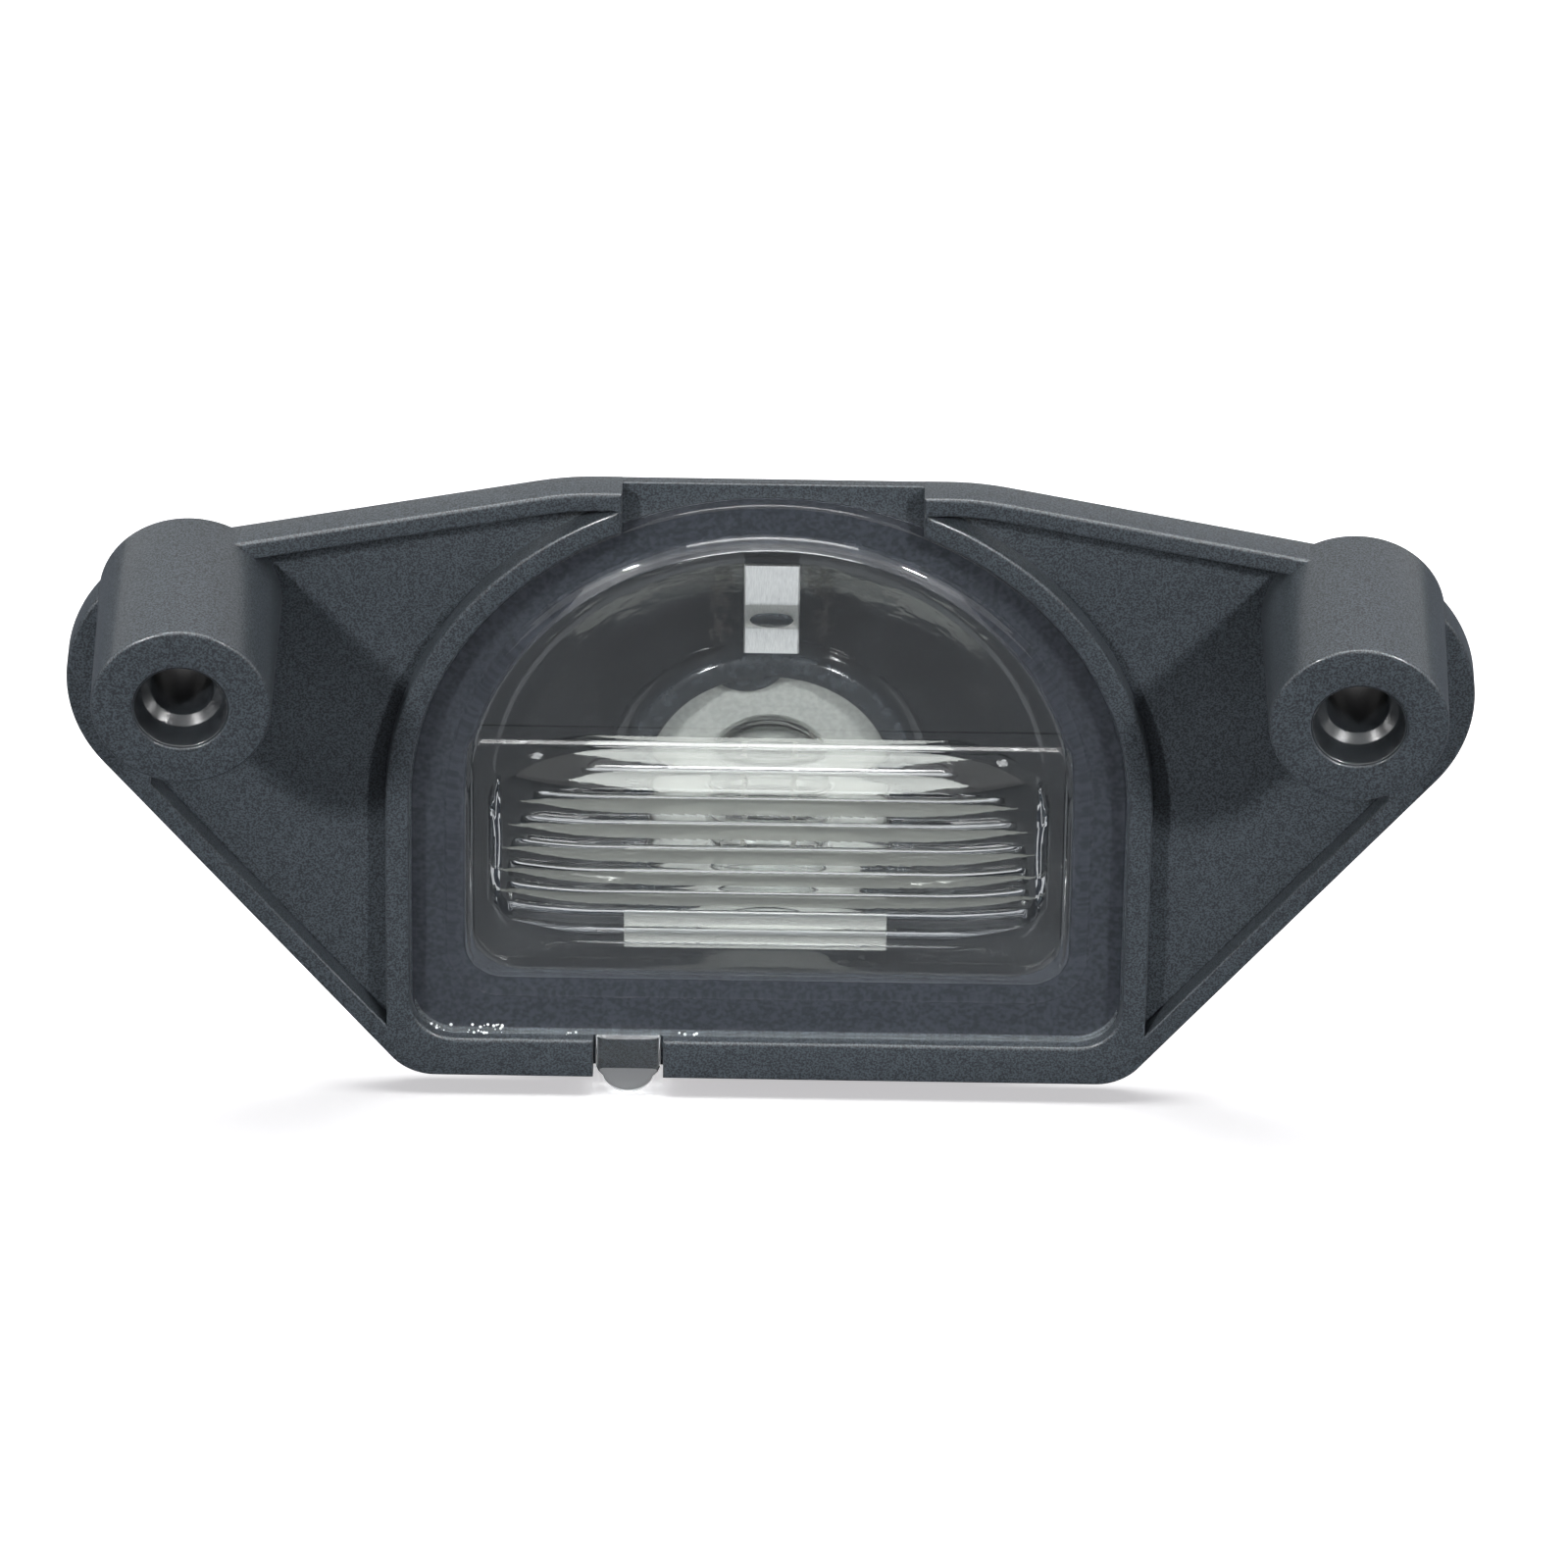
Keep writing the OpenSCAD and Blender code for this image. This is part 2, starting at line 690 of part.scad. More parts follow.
module bulb_glass() {
    color([0.85, 0.9, 0.92, 0.4]) difference() {
        union() {
            port_turned() difference() {
                envelope_section(0);
                envelope_section(glass_t);
            }
            port_block(wedge_w, wedge_t, wedge_end, bulb_base_h + 1);
        }
        for (side = [-1, 1]) {
            rod(side * lead_x, -port_drop, wedge_end - 1, filament_h, lead_d / 2 + fit_gap / 2);
        }
    }
}

// A lead runs from the filament out through the wedge, and folds up on the wedge's face
module bulb_lead(side) {
    low = wedge_end - lead_d / 2 - fit_gap;
    fold_z = -side * lead_fold_z;
    $fn = 24;
    color([0.72, 0.7, 0.66]) translate([side * lead_x, 0, 0]) {
        rod(0, -port_drop, low, filament_h, lead_d / 2);
        rod(0, -port_drop + fold_z, low, low + lead_fold_l, lead_d / 2);
        translate([0, -low, -port_drop + min(fold_z, 0)]) cylinder(h = lead_fold_z, d = lead_d);
        translate([0, -low, -port_drop]) sphere(d = lead_d);
        translate([0, -low, -port_drop + fold_z]) sphere(d = lead_d);
    }
}

module bulb_lead_left() {
    bulb_lead(-1);
}

module bulb_lead_right() {
    bulb_lead(1);
}

// The filament's coil as a plain arched bar
module bulb_filament() {
    half_span = lead_x - lead_d / 2 - fit_gap - filament_d / 2 * sin(filament_bend);
    arch_r = half_span / sin(filament_bend);
    $fn = 24;
    arch_h = filament_h - filament_d - arch_r * cos(filament_bend);
    color([0.45, 0.44, 0.42]) translate([0, -arch_h, -port_drop]) rotate([0, 0, 270 - filament_bend])
        rotate_extrude(angle = 2 * filament_bend) translate([arch_r, 0]) circle(d = filament_d);
}

module contact(side) {
    color([0.79, 0.68, 0.42])
        port_block(blade_w, blade_t, contact_rear, contact_front, side * blade_pitch / 2,
                   -side * (contact_face_z + blade_t / 2));
}

module contact_left() {
    contact(-1);
}

module contact_right() {
    contact(1);
}

housing();
lens();
spring_clip();
bulb_socket();
port_seal();
bulb_glass();
bulb_filament();
bulb_lead_left();
bulb_lead_right();
contact_left();
contact_right();
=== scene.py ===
import math

import bmesh
import bpy
import numpy as np
from mathutils import Matrix, Vector
from mathutils.geometry import delaunay_2d_cdt


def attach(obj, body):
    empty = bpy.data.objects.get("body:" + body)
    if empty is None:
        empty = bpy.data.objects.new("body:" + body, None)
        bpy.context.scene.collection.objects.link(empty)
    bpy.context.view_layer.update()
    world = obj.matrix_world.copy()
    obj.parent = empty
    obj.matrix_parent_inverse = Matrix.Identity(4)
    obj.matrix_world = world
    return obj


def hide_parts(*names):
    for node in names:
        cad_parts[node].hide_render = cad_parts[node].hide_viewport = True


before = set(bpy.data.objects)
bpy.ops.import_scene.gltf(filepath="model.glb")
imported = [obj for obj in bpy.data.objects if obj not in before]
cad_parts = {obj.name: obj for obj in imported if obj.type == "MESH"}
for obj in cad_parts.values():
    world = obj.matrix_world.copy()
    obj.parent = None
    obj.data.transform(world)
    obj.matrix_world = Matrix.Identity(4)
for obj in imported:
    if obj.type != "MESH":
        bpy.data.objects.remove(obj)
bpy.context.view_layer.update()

MM = 0.001


# Camera, studio and floor
# The lamp is seen square on to its long side, from well above, through a long lens. It stands over a pale
# floor, under a broad light overhead, a narrow beam from each side, and a small light low at each end.
def placed(thing, position, target, roll=0.0):
    """Puts a camera or a lamp at a position, aimed at a target, with its top leaning over by roll."""
    back = (Vector(position) - Vector(target)).normalized()
    side = Vector((0, 0, 1)).cross(back).normalized()
    up = back.cross(side)
    right = side * math.cos(roll) + up * math.sin(roll)
    top = up * math.cos(roll) - side * math.sin(roll)
    thing.matrix_world = Matrix.Translation(position) @ Matrix((right, top, back)).transposed().to_4x4()
    bpy.context.scene.collection.objects.link(thing)


view_point = Vector((1.23, 0, -18.3)) * MM
view_rise = math.radians(34.0)
view_roll = math.radians(0.878)
camera = bpy.data.objects.new("camera", bpy.data.cameras.new("camera"))
camera.data.sensor_width = 36.0
camera.data.lens = 275.0
camera.data.clip_start = 0.05
placed(camera, view_point + Vector((0, -math.cos(view_rise), math.sin(view_rise))), view_point, view_roll)
bpy.context.scene.camera = camera
bpy.context.scene.view_settings.view_transform = "Standard"


def soft_light(name, position, target, width, height, power, spread=180.0):
    """A rectangular lamp. A small spread, in degrees, makes a beam of it, as a grid does."""
    light = bpy.data.lights.new(name, "AREA")
    light.spread = math.radians(spread)
    light.shape = "RECTANGLE"
    light.size = width
    light.size_y = height
    light.energy = power
    lamp = bpy.data.objects.new(name, light)
    placed(lamp, position, target)
    return lamp


lamps = [soft_light("key_left", (-0.62, -0.74, 0.62), (-0.04, 0, -0.02), 0.10, 0.10, 0.132, 14.0),
         soft_light("key_right", (0.62, -0.74, 0.62), (0.04, 0, -0.02), 0.10, 0.10, 0.132, 14.0),
         soft_light("overhead", (0.0, 0.04, 0.9), (0, 0, 0), 0.8, 0.5, 11.0),
         soft_light("edge_left", (-0.97, -0.52, 0.10), (0, 0, -0.02), 0.04, 0.04, 1.0),
         soft_light("edge_right", (0.97, -0.52, 0.10), (0, 0, -0.02), 0.04, 0.04, 1.0)]


def node(tree, kind, inputs=(), **settings):
    """A new node. Its inputs, by name or number, are set to a value or wired to another node's output."""
    made = tree.nodes.new(kind)
    for key, value in settings.items():
        setattr(made, key, value)
    for key, value in dict(inputs).items():
        if isinstance(value, bpy.types.NodeSocket):
            tree.links.new(value, made.inputs[key])
        else:
            made.inputs[key].default_value = value
    return made


# Rays that show the background itself see it white: direct, mirrored or through clear plastic.
world = bpy.data.worlds.new("studio")
bpy.context.scene.world = world
world.use_nodes = True
tree = world.node_tree
tree.nodes.clear()
rays = node(tree, "ShaderNodeLightPath").outputs
direct = node(tree, "ShaderNodeMath", {0: rays["Is Camera Ray"], 1: rays["Is Glossy Ray"]},
              operation="MAXIMUM")
shown = node(tree, "ShaderNodeMath", {0: direct.outputs[0], 1: rays["Is Transmission Ray"]},
             operation="MAXIMUM")
room = node(tree, "ShaderNodeBackground", {"Color": (0.86, 0.93, 1.0, 1), "Strength": 0.08})
backdrop = node(tree, "ShaderNodeBackground", {"Strength": 1.0})
mix = node(tree, "ShaderNodeMixShader", {0: shown.outputs[0], 1: room.outputs[0], 2: backdrop.outputs[0]})
node(tree, "ShaderNodeOutputWorld", {0: mix.outputs[0]})

# The floor looks white and keeps its shadow, but is dim to the lamp itself, so that it doesn't light it.
floor_paint = bpy.data.materials.new("floor_paint")
floor_paint.use_nodes = True
tree = floor_paint.node_tree
tree.nodes.clear()
matt = node(tree, "ShaderNodeBsdfDiffuse", {"Color": (0.13, 0.14, 0.16, 1)})
pale = node(tree, "ShaderNodeBsdfDiffuse", {"Color": (0.95, 0.95, 0.95, 1)})
glow = node(tree, "ShaderNodeEmission", {"Color": (0.52, 0.51, 0.52, 1)})
both = node(tree, "ShaderNodeAddShader", {0: pale.outputs[0], 1: glow.outputs[0]})
rays = node(tree, "ShaderNodeLightPath").outputs
through = node(tree, "ShaderNodeMath", {0: rays["Is Transmission Ray"], 1: 0.36}, operation="MULTIPLY")
shown = node(tree, "ShaderNodeMath", {0: rays["Is Camera Ray"], 1: through.outputs[0]}, operation="MAXIMUM")
mix = node(tree, "ShaderNodeMixShader", {0: shown.outputs[0], 1: matt.outputs[0], 2: both.outputs[0]})
node(tree, "ShaderNodeOutputMaterial", {0: mix.outputs[0]})


def rectangle(left, right, low, high):
    """The loop of a rectangle, anticlockwise."""
    return [(left, low), (right, low), (right, high), (left, high)]


floor_mesh = bpy.data.meshes.new("floor")
floor_half = 4.0
floor_z = -48.6 * MM
corners = [(x, y, floor_z) for x, y in rectangle(-floor_half, floor_half, -floor_half, floor_half)]
floor_mesh.from_pydata(corners, [], [(0, 1, 2, 3)])
floor_mesh.materials.append(floor_paint)
floor = bpy.data.objects.new("floor", floor_mesh)
bpy.context.scene.collection.objects.link(floor)

# Only the overhead light falls on the floor, so that the object leaves one soft shadow.
overhead_only = bpy.data.collections.new("overhead_only")
overhead_only.objects.link(floor)
overhead_only.collection_objects[0].light_linking.link_state = "EXCLUDE"
for lamp in lamps:
    if lamp.name != "overhead":
        lamp.light_linking.receiver_collection = overhead_only


# Housing: flange
# The flange of the housing, moulded in black polypropylene with the bosses and the chamber. Rims run round
# its edge and round the lens, and leave two pockets; a notch at the top and a slot at the foot break them.
def shaded(name, colour, **values):
    """A new material with its node tree and its shader, and values for the shader's inputs."""
    material = bpy.data.materials.new(name)
    material.use_nodes = True
    tree = material.node_tree
    shader = tree.nodes["Principled BSDF"]
    shader.inputs["Base Color"].default_value = (*colour, 1)
    for label, value in values.items():
        shader.inputs[label.replace("_", " ")].default_value = value
    return material, tree, shader


def noise(tree, scale, detail=2.0, stretch=None):
    """Noise on the piece's own coordinates, which may be stretched along one of them."""
    place = node(tree, "ShaderNodeTexCoord").outputs["Object"]
    if stretch:
        place = node(tree, "ShaderNodeMapping", {"Vector": place, "Scale": stretch}).outputs["Vector"]
    made = node(tree, "ShaderNodeTexNoise", {"Vector": place, "Scale": scale, "Detail": detail})
    return made.outputs["Fac"]


def roughened(tree, shader, pattern, smoothest, roughest, start=0.0, end=1.0):
    """Roughness between two values, where the pattern runs from start to end."""
    rough = node(tree, "ShaderNodeMapRange", {"Value": pattern, "From Min": start, "From Max": end,
                                              "To Min": smoothest, "To Max": roughest})
    tree.links.new(rough.outputs["Result"], shader.inputs["Roughness"])


def tinted(tree, shader, pattern, start, dark, end, light):
    """Colour from dark to light, where the pattern runs from start to end."""
    tint = node(tree, "ShaderNodeValToRGB", {"Fac": pattern})
    for element, position, colour in zip(tint.color_ramp.elements, (start, end), (dark, light)):
        element.position = position
        element.color = (*colour, 1)
    tree.links.new(tint.outputs["Color"], shader.inputs["Base Color"])


def bumped(tree, shader, pattern, strength, height):
    """Relief of a height in millimetres."""
    bump = node(tree, "ShaderNodeBump", {"Height": pattern, "Strength": strength, "Distance": height * MM})
    tree.links.new(bump.outputs["Normal"], shader.inputs["Normal"])


def plastic(name, colour, roughness, spread, grain, grain_height, shine=0.5, speckle=0.25, coat=0.0):
    """Moulded plastic or rubber: a fine speckled grain, and broad patches that are smoother or rougher."""
    material, tree, shader = shaded(name, colour, Specular_IOR_Level=shine, Coat_Weight=coat,
                                    Coat_Roughness=0.16)
    fine = noise(tree, 1000.0 / grain, 3.0)
    roughened(tree, shader, noise(tree, 90.0, 4.0), roughness - spread, roughness + spread, 0.3, 0.7)
    dark = [c * (1 - speckle) for c in colour]
    light = [min(1.0, c * (1 + speckle)) for c in colour]
    tinted(tree, shader, fine, 0.4, dark, 0.6, light)
    bumped(tree, shader, fine, 0.6, grain_height)
    return material


def arc(x, z, r, start, end, step=4.0):
    """Points of an arc, angles in degrees, with both ends."""
    count = max(2, int(abs(end - start) / step) + 1)
    turns = [math.radians(start + (end - start) * i / count) for i in range(count + 1)]
    return [(x + r * math.cos(a), z + r * math.sin(a)) for a in turns]


def taut(circles, inset=0.0):
    """The loop of a taut band round circles [x, z, r], taken anticlockwise, shrunk by inset."""
    leave = []
    for (ax, az, ar), (bx, bz, br) in zip(circles, circles[1:] + circles[:1]):
        run, rise = bx - ax, bz - az
        leave.append(math.degrees(math.atan2(rise, run) - math.acos((ar - br) / math.hypot(run, rise))))
    loop = []
    for i, (x, z, r) in enumerate(circles):
        loop += arc(x, z, r - inset, leave[i - 1], leave[i - 1] + (leave[i] - leave[i - 1]) % 360.0, 2.5)
    return loop


arch_drop = 19.1


def arched(r, drop, corner):
    """An arch over straight sides with rounded lower corners, its centre at arch_drop under the screws."""
    return (arc(r - corner, -drop + corner, corner, -90, 0, 6) + arc(0, -arch_drop, r, 0, 180, 1.8)
            + arc(-r + corner, -drop + corner, corner, 180, 270, 6))


def inside(loop, x, z):
    """Which of the points lie inside a loop."""
    found = np.zeros(len(x), bool)
    ends = np.array(loop)
    for (ax, az), (bx, bz) in zip(ends, np.roll(ends, -1, 0)):
        if az != bz:
            found ^= ((az > z) != (bz > z)) & (x < (bx - ax) * (z - az) / (bz - az) + ax)
    return found


def chained(loops):
    """The points of all loops in order, and the edges that chain each loop."""
    points, edges = [], []
    for loop in loops:
        first = len(points)
        points += [Vector(p) for p in loop]
        edges += [(first + i, first + (i + 1) % len(loop)) for i in range(len(loop))]
    return points, edges


def region(loops, keep):
    """The borders of the area that keep accepts, with the area on their left. The loops cut the plane."""
    cut = delaunay_2d_cdt(*chained(loops), [], 0, 1e-4, False)
    corners = np.array([tuple(p) for p in cut[0]])
    faces = cut[2]
    middle = np.array([corners[list(f)].mean(0) for f in faces])
    wanted = keep(middle[:, 0], middle[:, 1])
    arrows = {(f[i], f[(i + 1) % len(f)]) for f, w in zip(faces, wanted) if w for i in range(len(f))}
    after = {}
    for a, b in sorted(arrows):
        if (b, a) not in arrows:
            after.setdefault(a, []).append(b)
    borders = []
    while any(after.values()):
        start = next(a for a, ends in after.items() if ends)
        border = [start]
        point = after[start].pop()
        while point != start:
            border.append(point)
            point = after[point].pop()
        loop = []
        for i in border:
            p = tuple(corners[i])
            if not loop or math.dist(p, loop[-1]) > 0.06:
                loop.append(p)
        if math.dist(loop[0], loop[-1]) < 0.06:
            loop.pop()
        if len(loop) > 3:
            borders.append(loop)
    return borders


def moved_in(loop, distance):
    """A loop moved to its left by a distance."""
    p = np.array(loop)
    run = np.roll(p, -1, 0) - p
    run /= np.linalg.norm(run, axis=1)[:, None]
    after = np.stack([-run[:, 1], run[:, 0]], 1)
    before = np.roll(after, 1, 0)
    miter = (before + after) / np.maximum(1 + (before * after).sum(1), 0.4)[:, None]
    return [tuple(q) for q in p + distance * miter]


def filled(loops):
    """Triangles that fill the loops, as indices into their points taken in order."""
    points, edges = chained(loops)
    cut = delaunay_2d_cdt(points, edges, [], 0, 1e-6, True)
    corners = np.array([tuple(p) for p in cut[0]])
    flat = np.array([tuple(p) for p in points])
    source = [ids[0] if ids else int(np.argmin(((flat - c) ** 2).sum(1))) for ids, c in zip(cut[3], corners)]
    middle = np.array([corners[list(f)].mean(0) for f in cut[2]])
    odd = np.zeros(len(middle), bool)
    for loop in loops:
        odd ^= inside(loop, middle[:, 0], middle[:, 1])
    faces = [tuple(source[i] for i in f) for f, is_odd in zip(cut[2], odd) if is_odd]
    return [f for f in faces if len(set(f)) > 2]


def bands(count, n, joined=False):
    """Faces between neighbours of count rows of n points, with the last row joined to the first or not."""
    return [(i * n + j, i * n + (j + 1) % n, (i + 1) % count * n + (j + 1) % n, (i + 1) % count * n + j)
            for i in range(count if joined else count - 1) for j in range(n)]


def as_piece(name, mesh, nodes):
    """A piece of the lamp, made of a mesh, in the place of CAD nodes."""
    thing = bpy.data.objects.new(name, mesh)
    bpy.context.scene.collection.objects.link(thing)
    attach(thing, "root")
    if nodes:
        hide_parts(*nodes)
    return thing


class Form:
    """Points in millimetres as (x, height in front of the mounting plane, z), and faces."""

    def __init__(self):
        self.points = []
        self.faces = []

    def add(self, points, faces):
        first = len(self.points)
        self.points += points
        self.faces += [tuple(first + i for i in f) for f in faces]
        return self

    def slab(self, loops, rows):
        """A flat part with its borders' section in rows of (distance in from the border, height)."""
        count = sum(len(loop) for loop in loops)
        points = []
        for inset, height in rows:
            for loop in loops:
                points += [(x, height, z) for x, z in (moved_in(loop, inset) if inset else loop)]
        faces = []
        for row in range(len(rows) - 1):
            first = row * count
            for loop in loops:
                n = len(loop)
                for i in range(n):
                    a, b = first + i, first + (i + 1) % n
                    faces.append((a, b, b + count, a + count))
                first += n
        for row in (0, len(rows) - 1):
            ends = [moved_in(loop, rows[row][0]) if rows[row][0] else loop for loop in loops]
            faces += [tuple(row * count + i for i in f) for f in filled(ends)]
        return self.add(points, faces)

    def turned(self, x, z, section, count=96):
        """A closed section of (radius, height) turned about an axis through x and z."""
        rows = []
        for i in range(count):
            angle = 2 * math.pi * i / count
            rows.append([(x + r * math.cos(angle), h, z + r * math.sin(angle)) for r, h in section])
        return self.lofted(rows)

    def lofted(self, rows):
        """A closed shell through rows of (x, height, z) points, with the last row joined to the first."""
        return self.add([p for row in rows for p in row], bands(len(rows), len(rows[0]), joined=True))

    def piece(self, name, material, slot, nodes=(), angle=32.0, voids=()):
        """The finished object, in the place of CAD nodes. Voids are closed hollows in it."""
        work = bmesh.new()
        for form in (self, *voids):
            mesh = bpy.data.meshes.new(name)
            mesh.from_pydata([(x * MM, -h * MM, z * MM) for x, h, z in form.points], [], form.faces)
            part = bmesh.new()
            part.from_mesh(mesh)
            bmesh.ops.remove_doubles(part, verts=part.verts, dist=2e-6)
            bmesh.ops.dissolve_degenerate(part, edges=part.edges, dist=1e-6)
            bmesh.ops.recalc_face_normals(part, faces=part.faces)
            if form is not self:
                bmesh.ops.reverse_faces(part, faces=part.faces)
            part.to_mesh(mesh)
            part.free()
            work.from_mesh(mesh)
        work.to_mesh(mesh)
        work.free()
        mesh.materials.append(material)
        mesh.shade_smooth()
        mesh.set_sharp_from_angle(angle=math.radians(angle))
        return as_piece(name, mesh, nodes)


def rounded(low, high, r_low, r_high, steps=4):
    """Rows of a border from low to high, rounded at both ends."""
    turns = [math.pi / 2 * i / steps for i in range(steps + 1)]
    return ([(r_low * (1 - math.sin(a)), low + r_low * (1 - math.cos(a))) for a in turns]
            + [(r_high * (1 - math.cos(a)), high - r_high * (1 - math.sin(a))) for a in turns])


black_grain = plastic("black_grain", (0.027, 0.032, 0.037), 0.40, 0.03, 0.16, 0.014, 0.34, 0.6, 0.4)
screw_x = 48.0
rim_h, rim_w = 3.0, 1.75
floor_h = 1.0
rim_circles = [(-27.9, -41.9, 4.7), (27.9, -41.9, 4.7), (45.2, -7.0, 13.1), (14.4, -13.0, 25.0),
               (-14.4, -13.0, 25.0), (-45.2, -7.0, 13.1)]
outline = taut(rim_circles)
rim_inner = taut(rim_circles, rim_w)
recess = arched(30.0, 42.8, 4.0)
lens_rim = arched(32.0, 51.3, 4.7)
notch_half = 12.4
notch = rectangle(-notch_half, notch_half, -arch_drop, 30.0)
slot_left, slot_right = -14.55, -8.65
tab_slot = rectangle(slot_left, slot_right, -60.0, -41.8)
boss_feet = [arc(side * screw_x, 0, 7.55, 0, 357, 3) for side in (-1, 1)]
boss_cores = [arc(side * screw_x, 0, 5.0, 0, 356, 4) for side in (-1, 1)]
pocket_end = 51.5
ear_lines = [rectangle(-60, -pocket_end, -40, 20), rectangle(pocket_end, 60, -40, 20)]


def in_rims(x, z):
    """Which points lie in the rims, the ears and the notch's walls, which stand higher than the floor."""
    pocket = inside(rim_inner, x, z) & ~inside(lens_rim, x, z) & (abs(x) < pocket_end)
    for foot in boss_feet:
        pocket &= ~inside(foot, x, z)
    keep = inside(outline, x, z) & ~pocket & ~inside(recess, x, z) & ~inside(notch, x, z)
    for core in boss_cores:
        keep &= ~inside(core, x, z)
    return keep & ~inside(tab_slot, x, z)


rims = region([outline, rim_inner, recess, lens_rim, notch, tab_slot] + boss_feet + boss_cores + ear_lines,
              in_rims)
opening_r = 25.0
opening = arched(opening_r, 36.2, 5.0)
wide_opening = arched(25.3, 36.5, 5.3)
base_loop = taut(rim_circles, 0.05)


def in_base(x, z):
    """Which points lie in the thin floor of the flange."""
    keep = inside(base_loop, x, z) & ~inside(wide_opening, x, z)
    return keep & ~inside(boss_cores[0], x, z) & ~inside(boss_cores[1], x, z)


base = region([base_loop, wide_opening] + boss_cores, in_base)
flange = Form()
flange.slab(rims, rounded(0.0, rim_h, 0.25, 0.32))
flange.slab(base, rounded(0.03, floor_h, 0.15, 0.12, 3))
flange_piece = flange.piece("housing_flange", black_grain, "housing")


# Housing: screw bosses
# Two tall bosses of the same moulding, each with a slight draft, a rounded face and a funnel that leads the
# screw into its hole.
def corner_turn(before, corner, after, r):
    """The centre of the arc that rounds a corner, and the arms from it to the arc's ends."""
    p = Vector(corner)
    a = (Vector(before) - p).normalized()
    b = (Vector(after) - p).normalized()
    half = a.angle(b) / 2
    centre = p + (a + b).normalized() * (r / math.sin(half))
    reach = r / math.tan(half)
    return centre, p + a * reach - centre, p + b * reach - centre


def rounded_section(corners):
    """A closed section of (radius, height), from corners of (radius, height, rounding)."""
    section = []
    n = len(corners)
    for i in range(n):
        before, corner, after = corners[i - 1][:2], corners[i][:2], corners[(i + 1) % n][:2]
        r = corners[i][2]
        if not r:
            section.append(tuple(Vector(corner)))
            continue
        centre, start, end = corner_turn(before, corner, after, r)
        sweep = start.angle_signed(end)
        steps = max(2, int(abs(math.degrees(sweep)) / 18))
        for k in range(steps + 1):
            turned = start.copy()
            turned.rotate(Matrix.Rotation(-sweep * k / steps, 2))
            section.append(tuple(centre + turned))
    return section


boss_h = 17.5
boss_section = rounded_section([
    (2.9, 0.0, 0.1), (5.0, 0.0, 0), (5.0, 0.6, 0), (7.58, 0.6, 0), (7.35, boss_h, 0.3), (3.95, boss_h, 0.15),
    (3.95, boss_h - 1.2, 0), (2.9, boss_h - 4.2, 0)])
bosses = Form()
for side in (-1, 1):
    bosses.turned(side * screw_x, 0, boss_section, 112)
bosses.piece("housing_bosses", black_grain, "housing")

funnel_section = rounded_section([
    (2.5, 0.0, 0.1), (2.92, 0.0, 0), (2.92, boss_h - 4.25, 0), (3.97, boss_h - 1.25, 0),
    (3.97, boss_h - 0.12, 0), (3.78, boss_h - 0.15, 0.08), (3.36, boss_h - 2.34, 0.25),
    (2.56, boss_h - 3.01, 0.2), (2.5, boss_h - 4.2, 0)])
funnels = Form()
for side in (-1, 1):
    funnels.turned(side * screw_x, 0, funnel_section)
black_satin = plastic("black_satin", (0.013, 0.015, 0.017), 0.24, 0.03, 0.9, 0.002, 0.9)
funnels.piece("housing_funnels", black_satin, "housing", angle=30)


# Housing: chamber and lamp port
# Behind the lens the housing runs back as a deep glossy bowl, from the arched opening to a round rear end
# with the lamp port. A rounded lip stands round the port, and three lobes in it stop the socket. The seat
# round the opening is black with the bonding that holds the lens.
port_z = -25.0
bond_black = plastic("bond_black", (0.016, 0.018, 0.022), 0.5, 0.1, 0.4, 0.01, 0.08)
seat = Form().slab([arched(29.6, 42.4, 3.6), wide_opening[::-1]], rounded(0.7, 1.06, 0, 0))
seat.piece("housing_seat", bond_black, "housing")

bowl_end_r = 13.8
bowl_h = -12.0
wall = 1.8


def outward(loop):
    """Directions out of a loop at its points."""
    p = np.array(loop)
    run = np.roll(p, -1, 0) - np.roll(p, 1, 0)
    run /= np.linalg.norm(run, axis=1)[:, None]
    return np.stack([run[:, 1], -run[:, 0]], 1)


def bowl_row(share, height, grow):
    """A row of the bowl: share 0 is the arched opening, 1 the round end."""
    front = np.array(bowl_loop) + grow * bowl_out
    rear = np.array([0, port_z]) + (bowl_end_r + grow) * bowl_out
    flat = front + (rear - front) * share
    return [(x, height, z) for x, z in flat]


bowl_loop = []
for (ax, az), (bx, bz) in zip(opening, opening[1:] + opening[:1]):
    pieces = max(1, int(math.dist((ax, az), (bx, bz)) / 1.2))
    bowl_loop += [(ax + (bx - ax) * k / pieces, az + (bz - az) * k / pieces) for k in range(pieces)]
bowl_out = outward(bowl_loop)
lip_top, lip_foot = 0.98, 0.45
rows = [bowl_row(0, lip_top, 0), bowl_row(0, lip_foot, 0)]
ledge, ledge_row, belly = 0.03, 5, 0.10
for i in range(1, 25):
    t = i / 24
    share = t - belly * math.sin(math.pi * t)
    height = lip_foot + (bowl_h + 0.5 - lip_foot) * t
    if i == ledge_row:
        rows.append(bowl_row(share, height, 0))
    rows.append(bowl_row(min(1, share + (ledge if i >= ledge_row else 0)), height - 0.02, 0))
rear = bowl_h - wall
for height, grow in ((bowl_h + 0.15, -0.15), (bowl_h, -0.5), (bowl_h, -2.4), (rear, -2.4), (rear, wall - 0.4),
                     (rear + 0.4, wall)):
    rows.append(bowl_row(1, height, grow))
for i in range(1, 13):
    t = 1 - i / 12
    rows.append(bowl_row(t - 0.04 * math.sin(math.pi * t), -0.3 + (rear + 0.4 + 0.3) * t, wall))
rows += [bowl_row(0, 0.5, wall), bowl_row(0, 0.5, 0.8), bowl_row(0, lip_top, 0.35)]
bowl = Form().lofted(rows)
black_wall = plastic("black_wall", (0.009, 0.010, 0.011), 0.08, 0.03, 4.5, 0.3, 1.0, 0.1)
